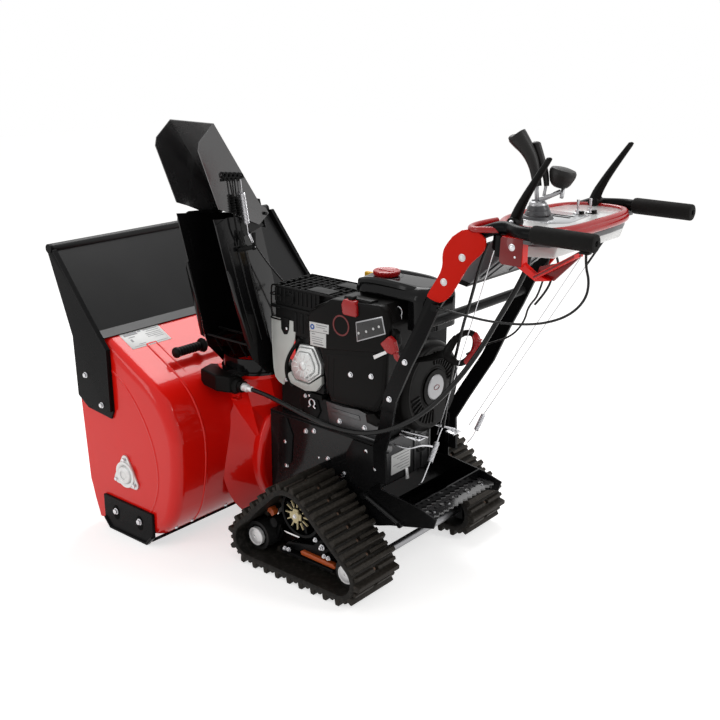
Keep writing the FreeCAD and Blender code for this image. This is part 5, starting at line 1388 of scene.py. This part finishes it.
def build_fuel_and_starter():
    shell = Shape().node("fuel_tank")
    shell.lathe([(44, -4), (43, -1.0), (40, 0.8), (36, 0.6), (33, -1.5), (33, -4)],
        (*FUEL_CAP, 735.6), UP, 48)
    for inner in (110, 17):
        shell.tube([(-88, inner, 723), (-110, inner, 729), (-170, inner, 730), (-246, inner, 727),
            (-270, inner + (63 - inner) * 0.3, 716)], 12.0, radii=[0.8, 1.0, 1.0, 1.0, 0.8])
    shell.finish("fuel_tank_shell", "tank_plastic", replaces=("fuel_tank",), rounding=1.5)
    (Shape()
     .tube([(x, y, 671) for x, y in ((-259, -3), (-286, 8), (-297, 36), (-297, 50), (-293, 84),
         (-262, 91), (-244, 91))], 2.6)
     .block((-302, 37, 664), (-293, 59, 678), 2.0)
     .finish("fuel_tank_seam", "tank_plastic"))

    cap = Shape()
    cap.lathe([(AXIS, 11.2), (8, 11.4), (18, 10.6), (24, 11.0), (28.0, 13.0), (30.2, 12.4),
        (31.0, 10.5), (29.6, 3), (27, 0.2), (AXIS, 0.2)], (*FUEL_CAP, 736.2), UP, 56)
    for turn in range(0, 360, 15):
        angle = math.radians(turn)
        out = Vector((math.cos(angle), math.sin(angle), 0))
        cap.rod(Vector((*FUEL_CAP, 738.5)) + out * 28.8, Vector((*FUEL_CAP, 747.4)) + out * 30.4,
            1.6, sides=8)
    cap.block((-150, 62.5, 746.6), (-110, 69.5, 749.0), 1.0)
    cap.finish("fuel_cap_ribbed", "red_plastic", replaces=("fuel_cap",))

    (Shape()
     .rod((-34, 2, 640.5), (-34, 2, 700), 8.4, sides=24)
     .lathe([(AXIS, 0), (12, 0), (13, 2), (13, 8), (11, 10), (AXIS, 10)], (-34, 2, 694), UP, 32)
     .block((-54, -4, 703), (-14, 8, 717.6), 3.6, 3)
     .finish("dipstick_handle", "yellow_plastic", replaces=("dipstick",)))

    (Shape()
     .side([(-100, 688), (-103, 668), (-107, 664), (-142, 664), (-145, 668), (-144, 688),
         (-138, 700), (-106, 700)], 166, 192, 3.0, 3)
     .finish("choke_knob_shaped", "red_plastic", replaces=("choke_knob",)))
    Shape().block((-130, 170, 697), (-114, 186, 708), 3.0, 3).finish("choke_tip", "black_plastic")

    (Shape()
     .side([(-212, 617), (-236, 639), (-250, 630), (-258, 606), (-246, 598), (-230, 600)], 178,
         192, 3.0, 3)
     .rod((-232, 176, 618), (-232, 184, 618), 12.0, sides=28, edge=1.0)
     .side([(-244, 606), (-256, 606), (-266, 588), (-262, 582), (-250, 590)], 182, 188, 1.2)
     .finish("stop_key_shaped", "red_plastic", replaces=("stop_key",)))
    (Shape()
     .side([(-190, 584), (-226, 603), (-229, 597), (-194, 576)], 184, 187.5, 0.6)
     .finish("stop_key_tag", "zinc_white"))

    (Shape()
     .tube([(-213 + 11.5 * math.cos(a), 128, 678 + 11.5 * math.sin(a)) for a in EIGHTHS_OF_TURN],
         1.4, closed=True)
     .tube([(-222, 128, 671), (-226, 129, 660), (-222, 130, 645)], 1.3)
     .tube([(-246, 112, 668), (-270, 112, 684)], 2.0, smooth=False)
     .tube([(-246, 112, 668), (-244, 112, 638), (-256, 112, 630)], 2.0, smooth=False)
     .finish("tank_ring_clip", "zinc_steel"))

    (Shape().node("recoil_cover")
     .lathe([(44, 0), (47, 2.4), (49, 2.4), (52, 0), (52, -3), (44, -3)],
         (-229.5, RECOIL_Y, RECOIL_Z), -FORWARD, 56)
     .lathe([(92, -4), (93, 1.0), (97, 1.0), (99, -2), (99, -6)], (-229.0, RECOIL_Y, RECOIL_Z),
         -FORWARD, 72)
     .finish("recoil_cover_shell", "black_plastic", replaces=("recoil_cover",)))
    fan = [(88, 176), (262, 356)]
    (Shape()
     .rear_spokes([(-1.9, 56), (1.9, 56), (2.6, 88), (-2.6, 88)], (-229.0, RECOIL_Y, RECOIL_Z),
         [turn for turn in range(0, 360, 9) if any(low < turn < high for low, high in fan)], -4.0,
         1.0)
     .finish("recoil_ribs", "black_plastic"))
    # Black plates between the ribs: painted shade in the vent openings
    (Shape()
     .rear_spokes([(-1.7, 57), (1.7, 57), (2.3, 87), (-2.3, 87)], (-229.4, RECOIL_Y, RECOIL_Z),
         [turn for turn in range(5, 365, 9) if any(low < turn < high for low, high in fan)], -1.0,
         0.0)
     .finish("recoil_vent_shade", "painted_hollow_shade"))
    (Shape()
     .lathe([(AXIS, 3.4), (22, 3.2), (29, 2.4), (31, 0.6), (31, -3), (AXIS, -3)], (-235.0, 8, 472),
         -FORWARD, 56)
     .finish("recoil_disc", "disc_silver"))
    (Shape()
     .tube([(-238.6, 8 + 11 * math.cos(a), 472 + 6 * math.sin(a)) for a in EIGHTHS_OF_TURN], 0.9,
         closed=True)
     .finish("recoil_disc_ring", "mark_red"))

    (Shape()
     .tube([(-320, 88, 592), (-325, 77, 616), (-339, 57, 636), (-353, 43, 637), (-363, 38, 628),
         (-367, 47, 600), (-360, 62, 581), (-350, 74, 570), (-334, 86, 576)], 7.0, closed=True,
         sides=4)
     .tube([(-214, 78, 548), (-262, 80, 566), (-318, 86, 590)], 5.0, radii=[1.0, 1.2, 2.4])
     .tube([(-316, 86, 584), (-322, 84, 606), (-332, 68, 628)], 6.0, radii=[1.6, 1.9, 1.2])
     .tube([(-316, 86, 588), (-326, 87, 580), (-342, 80, 573)], 6.0, radii=[1.6, 1.7, 1.2])
     .finish("starter_handle_loop", "black_plastic", replaces=("starter_handle",)))
    pad = Shape()
    pad.tube([(-357, 39, 634), (-368, 39, 622), (-371, 46, 600), (-364, 59, 582), (-355, 69, 573)],
        9.4, radii=[0.8, 1.05, 1.1, 1.05, 0.8], sides=4)
    for step in range(8):
        place = Vector((-371, 39, 624)).lerp(Vector((-363, 62, 579)), step / 7)
        pad.ball(place + Vector((-4.4, 2.6, 0)), (6.2, 6.2, 2.1), 14)
    pad.finish("starter_handle_pad", "red_plastic")


class SNOWBLOWER_OT_fuel_and_starter(bpy.types.Operator):
    """Tank with its cap, dipstick, knobs, starter cover and pull handle"""

    bl_idname = "snowblower.fuel_and_starter"
    bl_label = "Tank and starter"

    def execute(self, context):
        build_fuel_and_starter()
        return {"FINISHED"}


def console_outline(share):
    return [(-538 + (x + 538) * share, y * share) for x, y in CONSOLE_OUTLINE]


def console_layer(share, low, high, edge, segments=3):
    shape = Shape()
    shape.plate(console_outline(share), (0, 0, low), FORWARD, LEFT, high - low, edge, segments)
    return shape


def build_console():
    top = console_layer(0.955, 900, 913.4, 3.0)
    top.finish("console_top", "panel_white", replaces=("dash_panel",))
    band = console_layer(0.975, 880, 895, 2.0)
    band.block((-592, -214, 893), (-576, 214, 901), 1.0)
    band.finish("console_band", "panel_grey")
    (Shape()
     .side([(-500, 881), (-606, 881), (-598, 854), (-506, 846)], -150, 132, 5.0, 3)
     .finish("console_under", "panel_white", slot="shield_white"))

    (Shape()
     .tube([(x, y, 902) for x, y in console_outline(0.975)], 10.0, closed=True, sides=4)
     .tube([(x, y, 911) for x, y in console_outline(0.97)], 8.0, closed=True, sides=4)
     .tube([(-560, 172, 906), (-520, 186, 909), (-484, 204, 908), (-456, 208, 905),
         (-438, 190, 905), (-436, 150, 907), (-444, 100, 907)], 6.4, sides=4)
     .finish("console_rim", "red_plastic"))

    (Shape().node("dash_lamp")
     .finish("console_lamp_housing", "panel_grey", replaces=("dash_lamp",), rounding=3.0))
    lamp = Shape()
    lamp.plate(oblong(-112, -42, 112, 42), (-445, 0, 809), LEFT, (0.749, 0, -0.662), 2.4, 1.0)
    for y in (-84, 0, 84):
        lamp.plate(oblong(y - 3, -40, y + 3, 40), (-446.4, 0, 807.4), LEFT, (0.749, 0, -0.662),
            3.0, 1.0)
    lamp.finish("console_lamp_back", "panel_grey")
    (Shape()
     .plate([(-108, -30), (108, -30), (114, -24), (114, 24), (108, 30), (-108, 30), (-114, 24),
         (-114, -24)], (-414.4, 0, 838), LEFT, (-0.739, 0, 0.674), 3.4, 1.4, 3)
     .finish("console_lamp_lens", "lens_clear"))
    (Shape()
     .tube([(-389, -119, 817), (-389, 119, 817), (-438, 119, 861), (-438, -119, 861)], 3.2,
         smooth=False, closed=True)
     .side([(-402, 772), (-394, 763.5), (-373, 767.5), (-369.5, 774), (-369.5, 788), (-376, 788),
         (-378, 778), (-394, 775)], -129.5, 129.5, 1.4)
     .finish("console_lamp_rim", "black_plastic"))

    (Shape()
     .plate([(-560, 96), (-480, 96), (-470, 40), (-480, -40), (-580, -40), (-590, 60)],
         (0, 0, 912.8), FORWARD, LEFT, 2.0, 0.6)
     .finish("console_deck", "deck_silver"))
    # Black strips on the deck: painted shade in the slits
    (Shape()
     .block((-566, 14, 914), (-500, 22, 915.4), 0.4)
     .block((-566, -2, 914), (-500, 4, 915.4), 0.4)
     .finish("console_slit_shade", "painted_hollow_shade"))

    boot = Shape()
    boot.rod((-515, 60, 913.4), (-515, 60, 921), 34, 30, sides=10, edge=1.6)
    for low, high, wide, narrow in ((920, 931, 28, 24.5), (930, 941, 24, 20.5)):
        boot.rod((-515, 60, low), (*JOYSTICK, high), wide, narrow, sides=10, edge=1.8)
    boot.finish("joystick_boot", "grey_rubber")
    (Shape()
     .lathe([(AXIS, 9), (14, 9), (17, 7), (19, 3), (19, 1), (17, 0), (AXIS, 0)], (*JOYSTICK, 940),
         UP, 36)
     .rod((-514, 58, 950), (-546, 28, 968), 5.4, 4.6, sides=18, edge=0.8)
     .rod((-510, 58, 948), (-506, 57, 984), 4.4, sides=18, edge=0.8)
     .rod((-518, 48, 950), (-520, 42, 982), 3.2, sides=14)
     .bolt((-506, 64, 949), UP, 4.0)
     .rod((-552, 34, 956), (-548, 22, 976), 4.0, sides=14, edge=0.8)
     .finish("joystick_bracket", "disc_silver", slot="zinc_steel"))

    stick = Shape()
    spine = ((-508, 57, 978), (-503, 56, 1002), (-494, 57, 1030), (-480, 59, 1052),
        (-466, 61, 1067), (-458, 62, 1076))
    stick.tube(spine, 15.0, radii=[0.62, 0.66, 0.84, 1.02, 1.28, 1.34], sides=5, steps=8)
    stick.ball((-459, 62, 1070), (17.5, 19.5, 9.0), 28)
    stick.finish("joystick_handle", "handle_black", replaces=("chute_lever",))
    (Shape()
     .tube([(-521, 42, 978), (-518, 40, 996), (-508, 40, 1022), (-492, 40, 1058)], 7.6,
         radii=[0.7, 0.85, 1.05, 1.15], sides=4)
     .ball((-491, 40, 1060), (9.5, 9.5, 5.0), 20)
     .finish("second_lever", "handle_black"))
    (Shape()
     .lathe([(AXIS, -9), (12, -9), (17, -6), (21, -1), (24.6, 8), (27.4, 17), (27.6, 23),
         (25, 28.0), (16, 30.2), (AXIS, 30.6)], (-543, 27, 985), Vector((-0.2, -0.08, 0.97)), 40)
     .finish("speed_knob", "handle_black", replaces=("speed_lever",)))

    toggles = Shape()
    for x, y in TOGGLES:
        toggles.lathe([(AXIS, 0), (7.4, 0), (7.4, 2.4), (5.6, 3.2), (5.0, 8.6), (AXIS, 8.6)],
            (x, y, 914), UP, 24)
        toggles.tube([(x, y, 920), (x + 1, y - 1, 944)], 2.6, radii=[0.8, 1.3], smooth=False)
    toggles.finish("console_toggles", "zinc_steel")
    guards = Shape()
    for x, y in TOGGLES:
        guards.block((x - 13, y - 8, 912.6), (x + 8, y + 8, 915.0), 0.8)
        guards.block((x - 13, y - 5, 914), (x - 6, y + 5, 921), 0.8)
    guards.finish("console_toggle_plates", "black_plastic")


class SNOWBLOWER_OT_console(bpy.types.Operator):
    """Console top, rim, lamp, joystick, levers and toggles"""

    bl_idname = "snowblower.console"
    bl_label = "Console"

    def execute(self, context):
        build_console()
        return {"FINISHED"}


def build_handles():
    foam = Shape()
    profile = [(5.0, 2.5), (5.0, 0.4), (13.5, 0), (16.4, 1.4), (17.4, 4.0), (17.4, 128.0),
        (16.6, 132.0), (14.0, 134.0), (12.6, 134.0)]
    foam.lathe(profile, (-728, GRIP_Y, GRIP_Z), FORWARD, 40)
    foam.finish("grip_foams", "grip_foam", both=True, replaces=("grips",))
    # Black disc and ribs seen through the grips' open ends: painted shade in the hollow
    (Shape()
     .rod((-725, GRIP_Y, GRIP_Z), (-722, GRIP_Y, GRIP_Z), 13.0, sides=32)
     .rear_spokes([(-1.2, 0), (1.2, 0), (0.4, 5.6), (-0.4, 5.6)], (-727.4, GRIP_Y, GRIP_Z),
         range(0, 360, 60), -1.4, 0.0)
     .finish("grip_end_shade", "painted_hollow_shade", both=True))

    Shape().node("handlebars").finish("handlebar_tubes", "black_paint", replaces=("handlebars",))

    (Shape()
     .tube([(-522, 161, 916), (-526, 161, 934), (-543, 163, 968), (-568, 165, 1008),
         (-596, 168, 1050)], 8.4, radii=[1.5, 1.4, 1.05, 0.85, 0.66], sides=5)
     .ball((-596.4, 168, 1050.5), (5.6, 5.6, 3.4), 18)
     .rod((-526, 150, 922), (-526, 178, 922), 11.5, sides=24, edge=1.4)
     .finish("paddle_levers", "black_plastic", both=True, replaces=("paddles",)))

    bolts = Shape()
    bolts.bolts(at_y(205.2, (-433, 845), (-390, 788)), LEFT, 6.8, domed=True)
    plate = Shape()
    outline = [Vector(point) for point in ((-402, 880), (-429, 901), (-459, 905), (-488, 890),
        (-484, 864), (-450, 834), (-430, 800), (-404, 757), (-380, 740), (-345, 749), (-353, 763),
        (-385, 814), (-383, 852))]
    for _ in range(2):
        outline = [place for here, there in zip(outline, outline[1:] + outline[:1])
            for place in (here.lerp(there, 0.22), here.lerp(there, 0.78))]
    plate.side([tuple(point) for point in outline], 200.4, 205.4, 1.2)
    plate.finish("gusset_plates", "shaded_gusset_red", both=True, replaces=("gussets",))
    bolts.finish("gusset_bolts", "zinc_white", both=True)
    (Shape()
     .bolts([(x, y, z) for x, y, z in ((-290, 200.2, 593), (-248, 199.8, 498))], LEFT, 5.8,
         turn=0.3)
     .bolt((-526, 178, 922), LEFT, 5.6)
     .finish("handle_bolts", "zinc_steel", both=True))
    (Shape()
     .bolt((-548, 206.2, 882), LEFT, 6.0, domed=True)
     .bolt((-556, 202, 864), LEFT, 4.6, stud=2.0)
     .finish("trigger_bolts", "zinc_steel"))

    (Shape()
     .block((-556, 150, 878), (-506, 196, 886), 1.4)
     .block((-520, 176, 858), (-508, 204, 900), 1.4)
     .rod((-512, 160, 868), (-512, 200, 868), 7.0, sides=20, edge=0.8)
     .side([(-486, 892), (-500, 900), (-512, 884), (-506, 858), (-494, 852), (-484, 868)], 172,
         178, 1.0)
     .finish("handle_brackets", "black_paint", both=True))

    (Shape()
     .side([(-572, 900), (-524, 900), (-522, 896), (-520, 852), (-526, 846), (-570, 846)], 205.4,
         207.4, 0.8)
     .plate([(-598, 838), (-634, 826), (-688, 882), (-682, 890), (-640, 862), (-602, 850)],
         (0, 186, 0), FORWARD, UP, -6.0, 1.2)
     .tube([(-600, 208, 832), (-640, 211, 856), (-685, 214, 885)], 2.0)
     .finish("trigger_folds", "deep_red"))

    straps = Shape()
    for x, z in ((-600, 897), (-620, 897)):
        straps.lathe([(13.2, 0), (14.0, 0.8), (14.0, 5), (13.2, 6)], (x, GRIP_Y, GRIP_Z), FORWARD,
            32)
    straps.finish("grip_collars", "black_plastic", both=True)
    (Shape()
     .rod((-708, 210, 894), (-708, 210, 899), 4.0, sides=16, edge=0.6)
     .block((-716, 203, 892), (-696, 217, 897), 1.0)
     .finish("lead_gland", "black_plastic"))


class SNOWBLOWER_OT_handles(bpy.types.Operator):
    """Grips, paddles, gusset and strut bolts, trigger pads"""

    bl_idname = "snowblower.handles"
    bl_label = "Handles"

    def execute(self, context):
        build_handles()
        return {"FINISHED"}


def build_chassis(context):
    cable = context.scene.snow_blower_sizes.cable / MM / 2
    bolts = Shape()
    for x, z in ((-165, 286), (-134, 323), (-57, 236), (132, 277), (130, 212), (-11, 268),
            (-62, 243), (62, 323), (35, 330)):
        bolts.bolt((x, CHASSIS_SIDE, z), LEFT, 5.4, turn=x * 0.1)
    bolts.bolt((-165, CHASSIS_SIDE, 286), LEFT, 8.0, stud=3.0)
    bolts.bolts(at_y(CHASSIS_SIDE, (-140, 300), (20, 262)), LEFT, 3.0, domed=True)
    bolts.bolts([(-306.4, y, 203) for y in (-100, -40, 40, 100)], UP, 3.4, domed=True)
    bolts.finish("chassis_bolts", "zinc_steel", both=True)

    (Shape()
     .tube([(180, 139.4, 346), (120, 139.4, 346), (-60, 139.4, 346), (-170, 139.4, 344)], 2.4,
         smooth=False)
     .side([(150, 336), (126, 344), (106, 300), (112, 226), (140, 200), (158, 214)], CHASSIS_SIDE,
         141.2, 1.0)
     .side([(-92, 342), (-176, 340), (-174, 256), (-130, 214), (-84, 230), (-70, 300)],
         CHASSIS_SIDE, 141.6, 1.0)
     .block((-170, CHASSIS_SIDE, 347), (-20, 146, 351.6), 0.8)
     .finish("chassis_folds", "black_paint", both=True))

    (Shape()
     .rod((-131, 144, 209), (-241, 144, 166), 4.6, sides=18)
     .rod((-131, 137, 209), (-131, 152, 209), 8.0, sides=20, edge=1.0)
     .rod((-241, 137, 166), (-241, 150, 166), 7.0, sides=20, edge=1.0)
     .finish("chassis_braces", "black_gloss", slot="black_paint", both=True))

    (Shape()
     .block((-152.4, -8, 240), (-150.4, 67, 292), 0.3)
     .finish("gear_case_label_blank", "label_paper"))
    rules = Shape()
    for step in range(6):
        rules.block((-152.9, -2, 284 - step * 7.6), (-152.2, 60 - step % 3 * 14,
            285.6 - step * 7.6), 0.0)
    rules.finish("gear_case_label_rules", "print_grey")
    case = Shape()
    for y in (-90, -60, -30, 84):
        case.block((-154, y, 222), (-149, y + 6, 340), 1.4)
    case.lathe([(AXIS, 10), (16, 10), (20, 7), (26, 6), (30, 0), (AXIS, -2)], (-150, -56, 292),
        -FORWARD, 36)
    case.lathe([(AXIS, 16), (8, 16), (12, 12), (14, 0), (AXIS, -2)], (-150, 90, 320), -FORWARD, 28)
    case.finish("gear_case_ribs", "dull_alloy")
    (Shape()
     .block((-156, 2, 212), (-153, 12, 240), 0.6, turn=8)
     .finish("gear_case_strap", "zinc_white"))

    (Shape()
     .rod((-217, 118, 381), (-262, 118, 381), 4.6, sides=20, edge=0.8)
     .rod((-262, 118, 381), (-272, 118, 381), 3.2, sides=14, edge=0.6)
     .rod((-176, 60, 362), (-236, 34, 352), 3.0, sides=14)
     .rod((-176, -30, 356), (-244, -66, 344), 3.0, sides=14)
     .block((-228, 26, 345), (-202, 56, 348), 0.8, turn=10)
     .block((-246, -90, 332), (-220, -58, 335), 0.8, turn=-8)
     .tube([(-180, 96, 340), (-214, 88, 330), (-240, 60, 344), (-246, 30, 330)], 2.4)
     .bolt((-214, 40, 347), UP, 4.0, stud=4.0)
     .bolt((-232, -74, 334), UP, 4.0, stud=4.0)
     .finish("tray_links", "zinc_steel"))

    (Shape()
     .coil((-241, 4, 332), (-241, 30, 289), 5.6, 1.4, 16)
     .tube([(-244, -14, 366), (-241, -4, 350), (-241, 4, 331)], 1.5)
     .tube([(-241, 30, 290), (-240, 44, 268), (-239, 55, 250), (-236, 60, 240), (-231, 57, 236)],
         1.6)
     .coil((-252, -178, 352), (-250, -150, 318), 5.4, 1.4, 14)
     .tube([(-250, -150, 319), (-248, -140, 300), (-236, -134, 286)], 1.5)
     .finish("tray_springs", "zinc_steel"))

    lines = Shape()
    for start, end in (((-560, -196, 872), (-252, -178, 352)), ((-496, 188, 866), (-240, 3, 352)),
            ((-548, -160, 872), (-248, -120, 340))):
        lines.rod(start, end, cable, sides=8)
    lines.finish("control_cables", "zinc_steel")
    sheaths = Shape()
    start, end = Vector((-560, -196, 872)), Vector((-252, -178, 352))
    sheaths.rod(start, start.lerp(end, 0.2), 2.6, sides=12, edge=0.5)
    sheaths.tube([(-476, 178, 876), (-456, 172, 838), (-408, 126, 752), (-354, 88, 640),
        (-296, 40, 496), (-262, 4, 400), (-244, -14, 366)], 3.4)
    sheaths.tube([(-455, -70, 862), (-468, -120, 800), (-452, -150, 752), (-430, -168, 744),
        (-412, -180, 700), (-380, -180, 660)], 2.8)
    sheaths.finish("cable_sheaths", "cable_sheath")

    (Shape()
     .tube([(-555, 60, 876), (-530, 55, 759), (-498, 50, 724), (-486, 40, 687), (-442, 20, 638),
         (-360, 0, 600), (-300, -20, 560)], 2.2)
     .finish("console_lead", "cable_sheath"))

    step = Shape()
    for y in range(-120, 121, 20):
        step.block((-300, y - 1.4, 203), (-292, y + 1.4, 204.6), 0.4)
    step.finish("step_embossing", "black_paint")

    (Shape()
     .bolts([(183.6, y, z) for y, z in ((120, 268), (128, 216))], -FORWARD, 5.2)
     .finish("drum_bolts", "zinc_steel", both=True))


class SNOWBLOWER_OT_chassis(bpy.types.Operator):
    """Chassis bolts, brace, tray linkage, springs, cables and step details"""

    bl_idname = "snowblower.chassis"
    bl_label = "Chassis"

    def execute(self, context):
        build_chassis(context)
        return {"FINISHED"}


OPERATORS = [SNOWBLOWER_OT_stage, SNOWBLOWER_OT_finishes, SNOWBLOWER_OT_cords,
    SNOWBLOWER_OT_rounded_nodes, SNOWBLOWER_OT_tracks, SNOWBLOWER_OT_housing, SNOWBLOWER_OT_tool,
    SNOWBLOWER_OT_chute, SNOWBLOWER_OT_engine, SNOWBLOWER_OT_fuel_and_starter,
    SNOWBLOWER_OT_console, SNOWBLOWER_OT_handles, SNOWBLOWER_OT_chassis]


class SNOWBLOWER_PT_pieces(bpy.types.Panel):
    """Builds the machine's pieces one group at a time"""

    bl_idname = "SNOWBLOWER_PT_pieces"
    bl_label = "Snow Blower"
    bl_space_type = "VIEW_3D"
    bl_region_type = "UI"
    bl_category = "Snow Blower"

    def draw(self, context):
        layout = self.layout
        for group in (context.scene.snow_blower_sizes, context.scene.snow_blower_colours):
            for name in group.__annotations__:
                layout.prop(group, name)
        for operator in OPERATORS:
            layout.operator(operator.bl_idname)


CLASSES = [SnowBlowerColours, SnowBlowerSizes, *OPERATORS, SNOWBLOWER_PT_pieces]


def register():
    for item in CLASSES:
        bpy.utils.register_class(item)
    bpy.types.Scene.snow_blower_colours = bpy.props.PointerProperty(type=SnowBlowerColours)
    bpy.types.Scene.snow_blower_sizes = bpy.props.PointerProperty(type=SnowBlowerSizes)


def unregister():
    del bpy.types.Scene.snow_blower_sizes
    del bpy.types.Scene.snow_blower_colours
    for item in reversed(CLASSES):
        bpy.utils.unregister_class(item)


def main():
    register()
    for operator in OPERATORS:
        getattr(bpy.ops.snowblower, operator.bl_idname.split(".")[1])()


if __name__ == "__main__":
    main()
